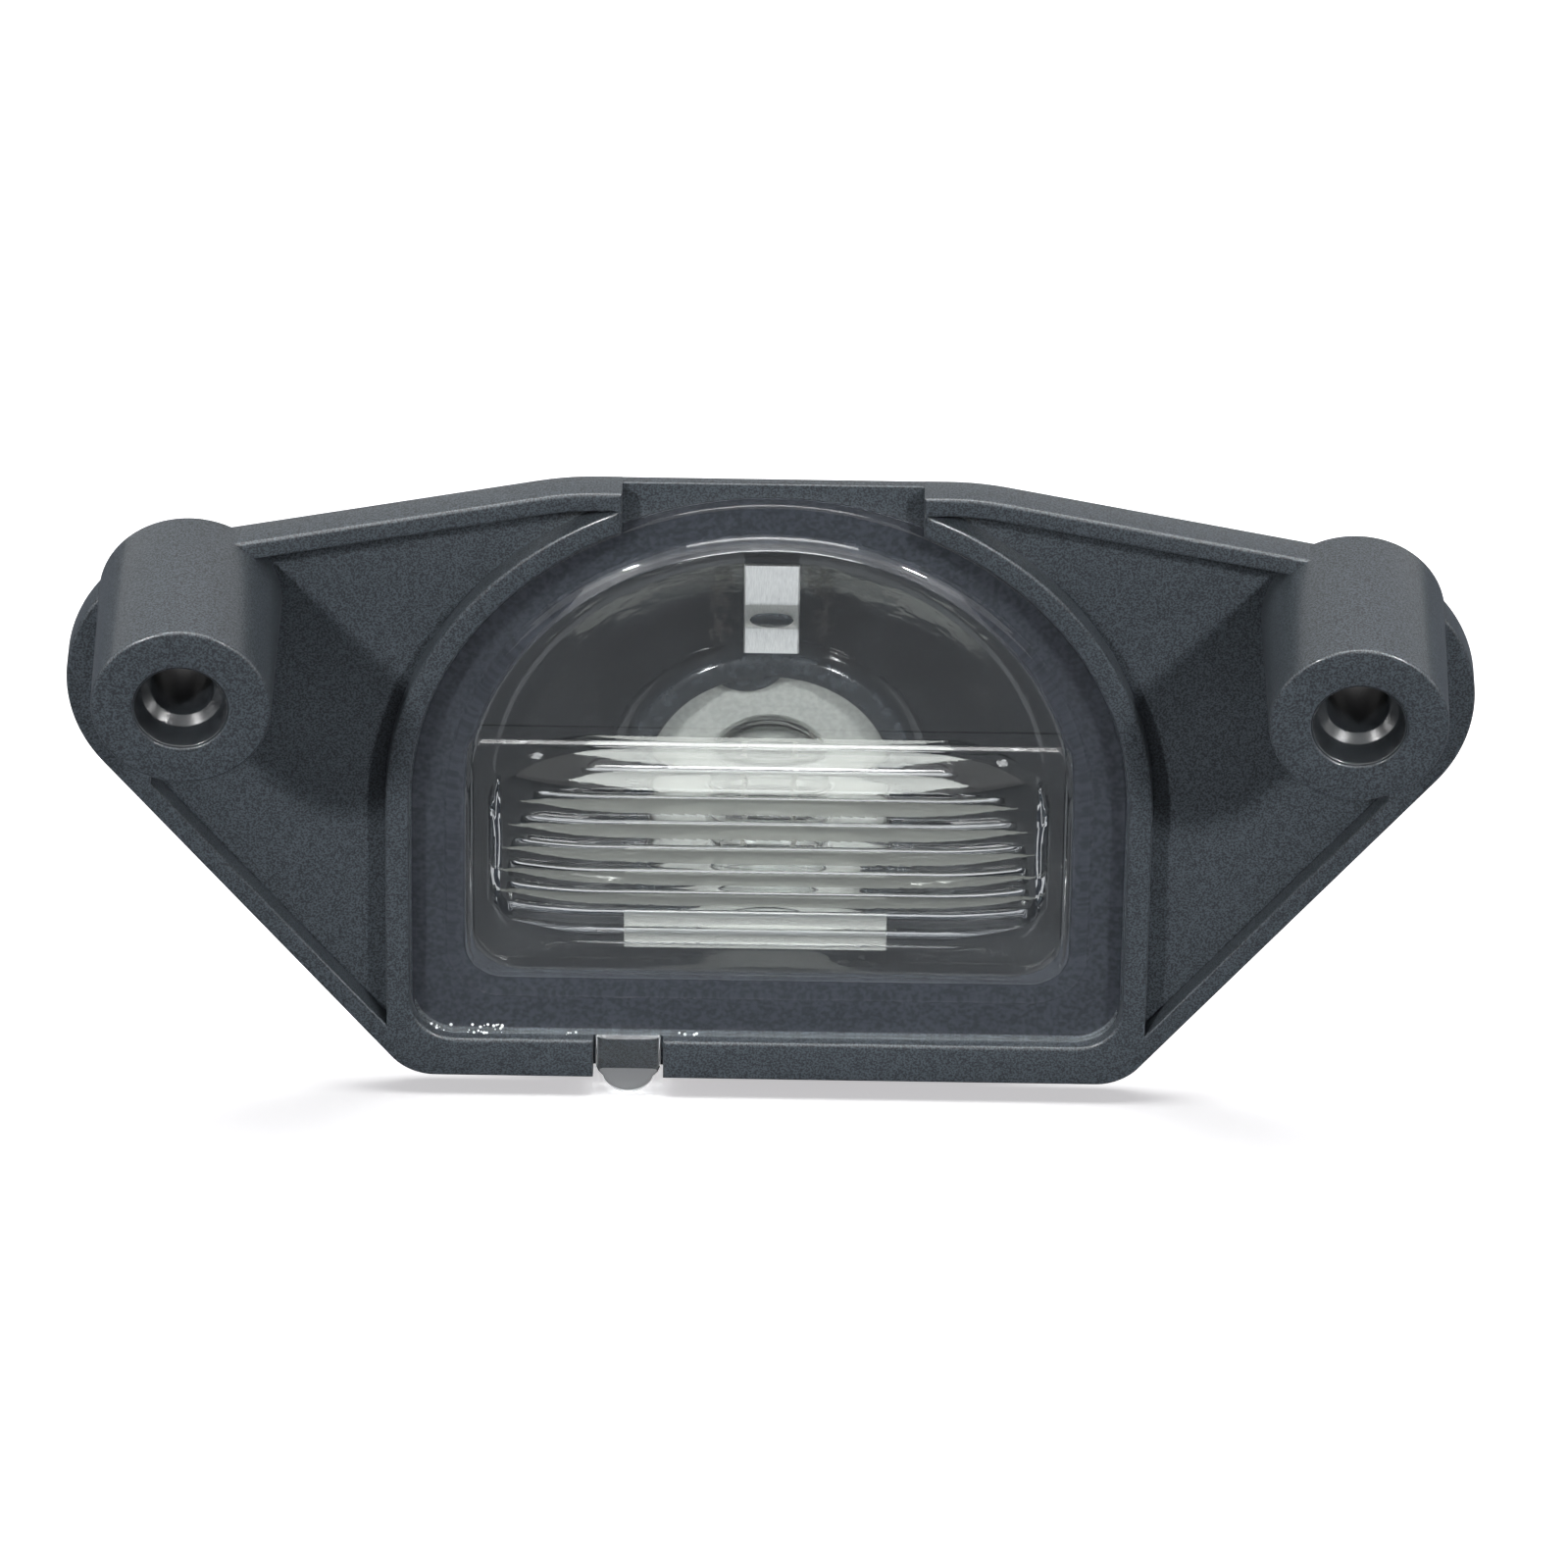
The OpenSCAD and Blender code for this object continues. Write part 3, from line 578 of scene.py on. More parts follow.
bowl.piece("housing_bowl", black_wall, "housing", angle=40)

port_r = 10.3
collar_r = 12.6
port_rear = -20.8
black_gloss = plastic("black_gloss", (0.011, 0.013, 0.015), 0.12, 0.04, 0.9, 0.003)
lip_h = -11.0
collar_section = rounded_section([
    (port_r, port_rear, 0.25), (collar_r, port_rear, 0.3), (collar_r, lip_h, 0.7), (port_r, lip_h, 0.55)])
collar = Form().turned(0, port_z, collar_section, 144)
collar.piece("housing_collar", black_gloss, "housing")

lobes = Form()
lobe_axis_r, lobe_r = 12.1, 3.6
ring = arc(0, port_z, 11.4, 0, 357, 3)
for turn in (10, 130, 250):
    angle = math.radians(90 + turn)
    lobe = arc(lobe_axis_r * math.cos(angle), port_z + lobe_axis_r * math.sin(angle), lobe_r, 0, 354, 6)
    in_both = region([lobe, ring], lambda x, z: inside(lobe, x, z) & inside(ring, x, z))
    lobes.slab(in_both, rounded(bowl_h - 0.9, bowl_h, 0.1, 0.2, 3))
lobes.piece("housing_lobes", black_gloss, "housing")
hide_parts("housing")


# Housing: clip pad
# A small pad and stake moulded on the bowl's upper wall. The stake passes through the spring clip and its
# end is melted over into a flat black head.
opening_top = opening_r - arch_drop
wall_run = -bowl_h / (opening_top - port_z - bowl_end_r)
clip_back, clip_gap, clip_top_l, clip_lean_l, clip_foot_l = 0.3, 2.2, 3.3, 5.6, 2.3
clip_rise = opening_top - clip_gap
clip_bend_z = clip_rise - clip_top_l
clip_foot_h = -clip_back - clip_lean_l * wall_run
clip_mid = (-clip_back - clip_lean_l * wall_run / 2, clip_bend_z - clip_lean_l / 2)
lean = math.atan(wall_run)


def on_clip(points):
    """From a frame on the middle of the clip's leaning leaf (across, along, out) to the lamp's."""
    cos, sin = math.cos(lean), math.sin(lean)
    return [(a, clip_mid[0] + b * sin + c * cos, clip_mid[1] + b * cos - c * sin) for a, b, c in points]


def leaning_slab(form, loop, rows):
    """Adds a slab that stands on the clip's leaning leaf."""
    flat = Form().slab([loop], rows)
    form.add(on_clip([(x, z, h) for x, h, z in flat.points]), flat.faces)


pad = Form()
pad_half, pad_reach, stake_r, head_r, head_stretch = 2.25, 1.7, 0.8, 1.45, 1.25
leaning_slab(pad, rectangle(-pad_half, pad_half, -pad_reach, pad_reach), rounded(-2.6, -0.22, 0, 0.15, 3))
leaning_slab(pad, arc(0, 0, stake_r, 0, 350, 10), [(0, -0.6), (0, 0.3)])
leaning_slab(pad, [(x * head_stretch, z - 0.5) for x, z in arc(0, 0, head_r, 0, 352, 8)],
             [(0.25, 0.2), (0.06, 0.26), (0, 0.36), (0.12, 0.5), (0.5, 0.6)])
pad.piece("housing_clip_pad", black_gloss, "housing")


# Spring clip
# A narrow leaf of bright spring steel, bent twice so that it steps back along the bowl's wall. It is
# stamped, so its edges are a little rounded and its rolled faces carry fine lines.
def metal(name, colour, roughness, stretch, scale, depth):
    """Bare metal with fine lines left by rolling or drawing, stretched along one way of the object."""
    material, tree, shader = shaded(name, colour, Metallic=1.0)
    lines = noise(tree, scale, 4.0, stretch)
    roughened(tree, shader, lines, roughness * 0.6, roughness * 1.4)
    tinted(tree, shader, lines, 0.3, [c * 0.8 for c in colour], 0.7, colour)
    bumped(tree, shader, lines, 0.5, depth)
    return material


def bent(corners, radius, steps=6):
    """A path through corners of (height, z), with each inner corner turned at a radius."""
    path = [Vector(corners[0])]
    for before, corner, after in zip(corners, corners[1:], corners[2:]):
        centre, start, end = corner_turn(before, corner, after, radius)
        path += [centre + start.slerp(end, k / steps) for k in range(steps + 1)]
    return path + [Vector(corners[-1])]


def run_at(path, i):
    """The way a path runs at one of its points."""
    return (path[min(i + 1, len(path) - 1)] - path[max(i - 1, 0)]).normalized()


def shell(rows):
    """A closed form through rows, with a face over each end."""
    count, n = len(rows), len(rows[0])
    over_ends = [tuple(range(n)), tuple(range((count - 1) * n, count * n))]
    return Form().add([p for row in rows for p in row], bands(count, n) + over_ends)


spring_steel = metal("spring_steel", (0.90, 0.89, 0.87), 0.34, (6.0, 1.0, 1.0), 1500.0, 0.006)
clip_w, clip_t = 4.6, 0.4
clip_foot_z = clip_bend_z - clip_lean_l
clip_path = bent([(-clip_back, clip_rise), (-clip_back, clip_bend_z), (clip_foot_h, clip_foot_z),
                  (clip_foot_h, clip_foot_z - clip_foot_l)], 0.6)
edge = clip_t * 0.3
half_w, half_t = clip_w / 2, clip_t / 2
clip_section = [(half_w - edge, half_t), (half_w, half_t - edge), (half_w, edge - half_t),
                (half_w - edge, -half_t), (edge - half_w, -half_t), (-half_w, edge - half_t),
                (-half_w, half_t - edge), (edge - half_w, half_t)]
rows = []
for i, p in enumerate(clip_path):
    run = run_at(clip_path, i)
    out = Vector((-run[1], run[0]))
    rows.append([(across, *(p + out * off)) for across, off in clip_section])
shell(rows).piece("clip", spring_steel, "clip", ["spring_clip"])


# Lens
# The clear lens is one moulding, bonded into the flange: a flat band, a raised body with a smooth window
# above a crease, and a curved window below it with nine flutes on its inner face. A gate tab is left at
# the foot.
def see_through(name, colour, share, ior=1.49):
    """Clear plastic of a share of transmission, a little wavy and hazy."""
    material, tree, shader = shaded(name, colour, Transmission_Weight=share, IOR=ior)
    roughened(tree, shader, noise(tree, 260.0, 5.0), 0.0, 0.05, 0.45, 0.75)
    bumped(tree, shader, noise(tree, 120.0, 1.0), 0.25, 0.05)
    return material


clear_plastic = see_through("clear_plastic", (0.93, 0.96, 0.97), 1.0)
# The two part-clear materials for the flutes' crests are painted light: their lit colour stands in for the
# bright and dim bands of light seen through the flutes.
crest_painted_light = see_through("crest_painted_light", (0.46, 0.475, 0.45), 0.66)
crest_painted_dim_light = see_through("crest_painted_dim_light", (0.12, 0.125, 0.115), 0.45)

lens_r, lens_drop, lens_corner = 29.85, 42.65, 3.85
body_r, body_drop, body_corner = 27.1, 38.5, 5.0
seat_h, band_h, body_h = 1.03, 2.4, 3.3
body_edge_r = 0.9
crease_z, crease_step = -12.2, 0.3
panel_half, panel_foot = 24.85, -35.3
window_r, window_half, window_h = 23.8, 23.6, 21.0
window_z = crease_z - window_h / 2
window_axis = body_h - math.sqrt(window_r ** 2 - (window_h / 2) ** 2)
lens_wall = 1.7
inner_r = window_r - lens_wall
flutes = 9
flute_span = math.asin(window_h / 2 / window_r)
flute_pitch = 2 * flute_span / flutes


def from_sides(x, z, half, foot, corner):
    """Distance in from the sides, the foot and the rounded corners between them."""
    qx, qz = abs(x) - (half - corner), foot + corner - z
    return corner - np.hypot(np.maximum(qx, 0), np.maximum(qz, 0)) - np.minimum(np.maximum(qx, qz), 0)


def into(x, z, r, drop, corner):
    """Distance in from the border of an arched outline, for arrays of points."""
    return np.where(z > -arch_drop, r - np.hypot(x, z + arch_drop), from_sides(x, z, r, -drop, corner))


def smooth(a, b, t):
    """A soft step from 0 at a to 1 at b."""
    t = np.clip((t - a) / (b - a), 0, 1)
    return t * t * (3 - 2 * t)


def quarter(distance, r):
    """Rise of a rounded edge at a distance in from it."""
    d = np.clip(distance, 0, r)
    return np.sqrt(np.maximum(r * r - (r - d) ** 2, 0))


def window_height(x, z, inset):
    """Height of the window's curved form, which falls away towards its ends and stops at a steep edge."""
    r = window_r - inset
    vault = np.sqrt(np.maximum(r * r - (z - window_z) ** 2, 0)) + window_axis
    fall = np.maximum(abs(x) - 14.0, 0) ** 2 / 56.0
    end = 3.0 * (1 - smooth(window_half - 1.9 - inset * 0.2, window_half - inset * 0.5, abs(x)))
    return np.where(abs(x) < window_half, np.minimum(vault - fall, body_h - inset + end), -9)


def flute_reach(z):
    """Half the length of a flute: short in the two under the crease, then longer and longer."""
    return np.interp(-z, (12.0, 16.8, 17.2, 20.0, 24.0, 27.0), (16.2, 16.8, 20.2, 21.4, 22.6, 23.0))


def panel_depth(x, z):
    """Distance in from the border of the raised lower panel: a straight top and rounded lower corners."""
    return np.minimum(from_sides(x, z, panel_half, panel_foot, 2.5), crease_z - z)


def lens_front(x, z):
    """Height of the front face: the band, the body, the panel with its raised edge, and the window."""
    height = band_h - 0.3 + quarter(into(x, z, lens_r, lens_drop, lens_corner), 0.3)
    body = into(x, z, body_r, body_drop, body_corner)
    raised = np.where(body > 0, band_h + quarter(body, body_edge_r), 0)
    depth = panel_depth(x, z)
    bead = 0.08 * np.exp(-(depth / 0.14) ** 2)
    height = np.maximum(height, raised) + crease_step * smooth(-0.2, 0.06, depth) + bead
    return np.where(body > body_edge_r, np.maximum(height, window_height(x, z, 0)), height)


def flute_place(z):
    """Where a height lies in its flute: 0 on the crest, and half a step off in the grooves beside it."""
    angle = np.arcsin(np.clip((z - window_z) / inner_r, -0.99, 0.99))
    step = (angle + flute_span) / flute_pitch
    return step - np.floor(step) - 0.5


def lens_rear(x, z):
    """Height of the rear face: the seat, the hollow body, and the window with its flutes."""
    body = into(x, z, body_r, body_drop, body_corner)
    height = seat_h + (body_h - lens_wall - seat_h) * smooth(1.55, 1.75, body)
    inner = window_height(x, z, lens_wall)
    off = flute_place(z) * flute_pitch * inner_r
    half = flute_pitch * inner_r / 2
    rib_r = half * 1.22
    rib = np.sqrt(np.maximum(rib_r ** 2 - off ** 2, 0)) - math.sqrt(rib_r ** 2 - half ** 2)
    rib *= smooth(0, 2.4, flute_reach(z) - abs(x))
    rib *= 1 - smooth(window_half - 2.7, window_half - 1.7, abs(x))
    return np.where((body > 1.75) & (inner > height), np.maximum(height, inner - rib * 0.92), height)


def even_ring(r, drop, corner):
    """An arched outline as points that match, one for one, those of its neighbours further in."""
    side = [(r, z) for z in np.linspace(-drop + corner, -arch_drop, 24)[1:-1]]
    other_side = [(-x, z) for x, z in reversed(side)]
    foot = [(x, -drop) for x in np.linspace(-r + corner, r - corner, 60)[1:-1]]
    return (arc(r - corner, -drop + corner, corner, -90, 0, 7) + side + arc(0, -arch_drop, r, 0, 180, 1.5)
            + other_side + arc(-r + corner, -drop + corner, corner, 180, 270, 7) + foot)


# Both faces share one net of points: rings along the border and the body's edge, then a grid that is fine
# at the panel's edge, along the crease and over the flutes.
rings = [even_ring(lens_r - inset, lens_drop - inset, lens_corner - inset * 0.5)
         for inset in (0, 0.03, 0.09, 0.17, 0.3, 1.0, 1.8)]
rings += [even_ring(body_r - inset, body_drop - inset, body_corner - inset)
          for inset in (-0.2, -0.001, 0.02, 0.07, 0.15, 0.26, 0.4, 0.57, 0.75, 0.93, 1.2, 1.5, 1.57, 1.64,
                        1.71, 1.78, 1.95)]
around = len(rings[0])
ends = np.concatenate([np.linspace(13.0, 24.6, 59), (24.74, 24.82, 24.90, 24.98)])
across = np.concatenate([-ends[::-1], np.linspace(-12.0, 12.0, 25), ends])
up = np.concatenate([[-36.3, -35.9, -35.44, -35.38, -35.32, -35.26, -35.2, -34.6, -34.0, -33.5],
                     np.linspace(-33.3, -12.42, 21 * flutes),
                     -12.36 + 0.05 * np.arange(14), np.linspace(-11.2, 6.0, 15)])
grid = np.array([(x, z) for z in up for x in across])
grid = grid[into(grid[:, 0], grid[:, 1], body_r, body_drop, body_corner) > 2.12]
flat = [Vector(p) for p in rings[-1]] + [Vector(p) for p in grid]
cut = delaunay_2d_cdt(flat, [(i, (i + 1) % around) for i in range(around)], [], 1, 1e-6, True)
source = np.array([ids[0] for ids in cut[3]])
held = (len(rings) - 1) * around
points = np.array([p for ring in rings for p in ring] + [tuple(p) for p in grid])
faces = bands(len(rings), around) + [tuple(int(held + source[i]) for i in f) for f in cut[2]]
total = len(points)
x, z = points[:, 0], points[:, 1]
rear_faces = [tuple(total + i for i in reversed(f)) for f in faces]
rim_faces = [(j, (j + 1) % around, total + (j + 1) % around, total + j) for j in range(around)]
both_faces = list(zip(x, lens_front(x, z), z)) + list(zip(x, lens_rear(x, z), z))
lens = Form().add(both_faces, faces + rear_faces + rim_faces)
lens_piece = lens.piece("lens_moulding", clear_plastic, "lens", ["lens"], angle=38)

# Painted light on the flutes' crests: a bright part-clear paint in two pointed bands under the crease and in
# a blunt one at the foot, and a dimmer one between, which stand in for the light seen through the flutes.
lens_piece.data.materials.append(crest_painted_light)
lens_piece.data.materials.append(crest_painted_dim_light)
dim_band_top, dim_band_foot = -17.1, -28.5
blunt_left, blunt_right = -11.7, 10.3
centres = np.array([f.center for f in lens_piece.data.polygons]) / MM
across, height, up = centres[:, 0], -centres[:, 1], centres[:, 2]
share = np.where(up > dim_band_top, 0.86, 0.62)
pointed = share * (1 - np.minimum(abs(across) / flute_reach(up), 1) ** 4)
blunt = 0.9 * ((across > blunt_left) & (across < blunt_right))
painted_lit_crest = 2 * abs(flute_place(up)) < np.where(up > dim_band_foot, pointed, blunt)
painted_lit_crest &= (abs(height - lens_rear(across, up)) < 0.08) & (up < crease_z) & (up > crease_z - window_h)
for face, is_painted_lit, face_z in zip(lens_piece.data.polygons, painted_lit_crest, up):
    if is_painted_lit:
        face.material_index = 2 if dim_band_foot < face_z < dim_band_top else 1

tab_x, tab_r, tab_root, tab_end = -11.6, 2.2, -42.68, -48.4
tab_h, tab_half_t, tab_shoulder = 2.08, 0.72, 0.55


def squarish(value):
    """A sine or cosine pushed outwards, for a section between a circle and a rectangle."""
    return math.copysign(abs(value) ** 0.6, value)


tab_rows = []
for k in range(15):
    z = tab_root + (tab_end - tab_root) * math.sin(math.pi / 2 * k / 14)
    half_w = math.sqrt(max(tab_r ** 2 - max(tab_end + tab_r - z, 0) ** 2, 0.003))
    half_w += tab_shoulder * float(smooth(-46.6, -46.0, z))
    half_t = tab_half_t * math.sqrt(min(half_w / tab_r, 1))
    tab_rows.append([(tab_x + half_w * squarish(math.cos(t)), tab_h + half_t * squarish(math.sin(t)), z)
                     for t in np.linspace(0, 2 * math.pi, 33)[:-1]])
shell(tab_rows).piece("lens_gate_tab", clear_plastic, "lens", angle=60)


# Bulb socket
# The twist-in socket, moulded in pale nylon. Its neck fills the port and holds the bulb's foot in a cup; its
# three ears lock in the collar's slots, and a flange, two finger grips and the terminal shroud stand out
# at the back.
pale_nylon = plastic("pale_nylon", (0.155, 0.16, 0.15), 0.45, 0.08, 0.5, 0.006, 0.3, 0.1)
neck_r, neck_h = 10.1, -12.9
seal_rear, socket_rear, shroud_rear = -22.2, -24.4, -38.4
cup_floor, wedge_end, terminal_floor = -15.9, -24.9, -27.9
blade_x, blade_z = 3, 1.925


def disc(r, step):
    """A circle round the port's axis."""
    return arc(0, port_z, r, 0, 360 - step, step)


def block(x, z, w, t, corner):
    """The loop of a rectangle with rounded corners."""
    w, t = w / 2 - corner, t / 2 - corner
    return (arc(x + w, z - t, corner, -90, 0, 15) + arc(x + w, z + t, corner, 0, 90, 15)
            + arc(x - w, z + t, corner, 90, 180, 15) + arc(x - w, z - t, corner, 180, 270, 15))


def hollowed(outer, holes):
    """Borders of an outline with holes in it, each running with the material on its left."""
    return [outer] + [hole[::-1] for hole in holes]


wedge_hole = block(0, port_z, 9.6, 4.85, 0.3)
foot_slot = block(0, port_z, 9.3, 2.5, 0.6)
socket = Form()
socket.slab(hollowed(disc(neck_r, 2.5), [disc(5.2, 5)]), rounded(cup_floor - 0.2, neck_h, 0, 0.45))
socket.slab(hollowed(disc(8.0, 5), [foot_slot]), rounded(cup_floor - 0.8, cup_floor + 0.1, 0, 0))
socket.slab(hollowed(disc(neck_r, 2.5), [wedge_hole]), rounded(seal_rear - 0.2, cup_floor, 0, 0))
socket.slab(hollowed(disc(14.6, 2.5), [wedge_hole]), rounded(socket_rear, seal_rear, 0.5, 0.25))
for start in (169, 289, 409):
    ear = arc(0, port_z, 11.9, start, start + 16, 2) + arc(0, port_z, 9.2, start + 16, start, 2)
    socket.slab([ear], rounded(-18.8, -16.6, 0.15, 0.15, 2))
shroud = block(0, port_z, 16.0, 9.6, 1.4)
cavity = block(0, port_z, 13.0, 6.6, 0.6)
blades = [block(side * blade_x, port_z - side * blade_z, 2.9, 0.7, 0.1) for side in (-1, 1)]
socket.slab(hollowed(shroud, [wedge_hole]), rounded(-25.9, socket_rear + 0.4, 0, 0))
socket.slab(hollowed(shroud, blades), rounded(terminal_floor, -25.7, 0, 0))
socket.slab(hollowed(shroud, [cavity]), rounded(shroud_rear, terminal_floor + 0.2, 0.35, 0))
socket.piece("socket_body", pale_nylon, "socket", ["bulb_socket"])

grips = Form()
for side in (-1, 1):
    grips.slab([block(side * 10.1, port_z, 4.8, 2.6, 1.1)], rounded(-32.4, socket_rear + 0.3, 0.8, 0))
grips.piece("socket_grips", pale_nylon, "socket")


def geometry_tree(name, inputs):
    """An empty node tree for a modifier, with number inputs by name and usual value."""
    tree = bpy.data.node_groups.new(name, "GeometryNodeTree")
    tree.interface.new_socket("Geometry", in_out="INPUT", socket_type="NodeSocketGeometry")
    for label, value in inputs.items():
        kind = "NodeSocketInt" if isinstance(value, int) else "NodeSocketFloat"
        tree.interface.new_socket(label, in_out="INPUT", socket_type=kind).default_value = value
    tree.interface.new_socket("Geometry", in_out="OUTPUT", socket_type="NodeSocketGeometry")
    return tree, node(tree, "NodeGroupInput").outputs, node(tree, "NodeGroupOutput")


def made_plain(tree, geometry, material, result):
    """The tree's end: instances made real, and the material set."""
    plain = node(tree, "GeometryNodeRealizeInstances", {"Geometry": geometry}).outputs[0]
    painted = node(tree, "GeometryNodeSetMaterial", {"Geometry": plain, "Material": material}).outputs[0]
    tree.links.new(painted, result.inputs["Geometry"])


def grown(name, tree, source, inputs, material, nodes=()):
    """Runs the tree on a source mesh with its inputs set, and keeps the result as a plain mesh."""
    base = bpy.data.objects.new(name + "_source", source)
    bpy.context.scene.collection.objects.link(base)
    modifier = base.modifiers.new("grow", "NODES")
    modifier.node_group = tree
    for item in tree.interface.items_tree:
        if item.item_type == "SOCKET" and item.in_out == "INPUT" and item.name in inputs:
            modifier[item.identifier] = inputs[item.name]
    graph = bpy.context.evaluated_depsgraph_get()
    graph.update()
    mesh = bpy.data.meshes.new_from_object(base.evaluated_get(graph))
    base.modifiers.remove(modifier)
    bpy.data.objects.remove(base)
    mesh.name = name
    if not mesh.materials:
        mesh.materials.append(material)
    return as_piece(name, mesh, nodes)


def ribs_tree(material):
    """Rows of half-round ribs: a rib is repeated along Y from a start, on every point of the source."""
    tree, given, result = geometry_tree("grip_ribs", {"Count": 5, "Pitch": 1.2, "Length": 3.0, "Radius": 0.3})
    rib = node(tree, "GeometryNodeMeshCylinder",
               {"Vertices": 16, "Radius": given["Radius"], "Depth": given["Length"]}).outputs["Mesh"]
    lying = (0, math.pi / 2, 0)
    laid = node(tree, "GeometryNodeTransform", {"Geometry": rib, "Rotation": lying}).outputs["Geometry"]
    step = node(tree, "ShaderNodeCombineXYZ", {"Y": given["Pitch"]}).outputs[0]
    row = node(tree, "GeometryNodeMeshLine", {"Count": given["Count"], "Offset": step}).outputs["Mesh"]
    along = node(tree, "GeometryNodeInstanceOnPoints", {"Points": row, "Instance": laid}).outputs["Instances"]
    each = node(tree, "GeometryNodeInstanceOnPoints", {"Points": given["Geometry"], "Instance": along})
    made_plain(tree, each.outputs["Instances"], material, result)
    return tree


rib_x, first_rib_y, rib_off = 10.3, 26.2, 1.17
starts = bpy.data.meshes.new("rib_starts")
starts.from_pydata([(side * rib_x * MM, first_rib_y * MM, (port_z + face * rib_off) * MM)
                    for side in (-1, 1) for face in (-1, 1)], [], [])
grown("socket_ribs", ribs_tree(pale_nylon), starts,
      {"Count": 5, "Pitch": 1.15 * MM, "Length": 3.4 * MM, "Radius": 0.34 * MM}, pale_nylon)


# Port seal
# A flat ring of black rubber, pressed between the socket's flange and the collar when the socket is turned
# home, with two beads on its edge.
rubber = plastic("rubber", (0.018, 0.018, 0.019), 0.62, 0.08, 0.25, 0.01)
port_seal = Form().turned(0, port_z, rounded_section([
    (10.2, seal_rear + 0.02, 0.15), (13.75, seal_rear + 0.02, 0.2), (14.0, seal_rear + 0.35, 0.12),
    (13.7, seal_rear + 0.7, 0.1), (14.0, seal_rear + 1.05, 0.12), (13.75, port_rear - 0.02, 0.2),
    (10.2, port_rear - 0.02, 0.15)]), 128)
port_seal.piece("seal", rubber, "seal", ["port_seal"])


# Bulb
# A wedge-base bulb: a thin glass envelope with a round tip, pinched into a flat foot. Two wire leads come
# out of the foot and fold up on its faces, and a coiled filament hangs between their tips.
bulb_glass, tree, shader = shaded("bulb_glass", (0.97, 0.98, 0.98), Transmission_Weight=1.0, IOR=1.35)
roughened(tree, shader, noise(tree, 180.0), 0.0, 0.06)
bulb_base, bulb_r, filament_h = -15.7, 5.0, -4.4


def bulb_rows(inset):
    """Rows of the envelope from its tip to its foot, drawn in by inset."""
    r = bulb_r - inset
    rows = []
    for k in range(1, 13):
        a = math.pi / 2 * k / 12
        ring = arc(0, port_z, r * math.sin(a), 0, 352.5, 7.5)
        rows.append([(x, filament_h + r * math.cos(a), z) for x, z in ring])
    low = bulb_base + (0.9 if inset else 0.0)
    for share, h in ((0.0, filament_h - bulb_r), (0.0, low + 2.6), (0.25, low + 1.3), (0.7, low + 0.4),
                     (1.0, low)):
        pinch = 1 - share * 0.72
        row = arc(0, port_z, r, 0, 352.5, 7.5)
        rows.append([(x * (1 - 0.09 * share), h, port_z + (z - port_z) * pinch) for x, z in row])
    return rows


foot_sizes = [(bulb_base + 0.3, 9.0, 2.1), (wedge_end + 1.0, 9.2, 2.2), (wedge_end + 0.3, 9.0, 2.0),
              (wedge_end, 8.4, 1.6)]
foot_rows = [[(x, h, z) for x, z in block(0, port_z, w, t, 0.75)] for h, w, t in foot_sizes]
glass = shell(bulb_rows(0.0))
foot = shell(foot_rows)
glass.add(foot.points, foot.faces)
glass_piece = glass.piece("bulb_envelope", bulb_glass, "bulb_glass", ["bulb_glass"], angle=50,
                          voids=[shell(bulb_rows(0.22))])

lead_wire = metal("lead_wire", (0.72, 0.69, 0.62), 0.3, (1.0, 1.0, 1.0), 900.0, 0.004)


def wire_form(path, r, count=12):
    """A round wire along a path of (x, height, z) points."""
    points = [Vector(p) for p in path]
    side = Vector((0.31, 0.17, 0.93))
    turns = [2 * math.pi * k / count for k in range(count)]
    rows = []
    for i, p in enumerate(points):
        run = run_at(points, i)
        side = (side - run * side.dot(run)).normalized()
        up = run.cross(side)
        rows.append([tuple(p + side * r * math.cos(a) + up * r * math.sin(a)) for a in turns])
    return shell(rows)


for side, name in ((-1, "left"), (1, "right")):
    fold = -side * 1.35
    x = side * 2.2
    low = wedge_end - 0.28
    path = [(x, filament_h + 0.15, port_z), (x, filament_h - 3, port_z), (x * 0.93, bulb_base + 3.5, port_z),
            (x, bulb_base + 1.0, port_z), (x, wedge_end + 0.5, port_z)]
    for k in range(9):
        a = math.pi * k / 8
        path.append((x, low + 0.6 - 0.62 * math.sin(a), port_z + fold * (1 - math.cos(a)) / 2))
    path.append((x, low + 4.9, port_z + fold))
    wire_form(path, 0.24).piece("lead_" + name, lead_wire, "lead", ["bulb_lead_" + name])

tungsten = metal("tungsten", (0.42, 0.40, 0.38), 0.35, (1.0, 1.0, 1.0), 2500.0, 0.002)


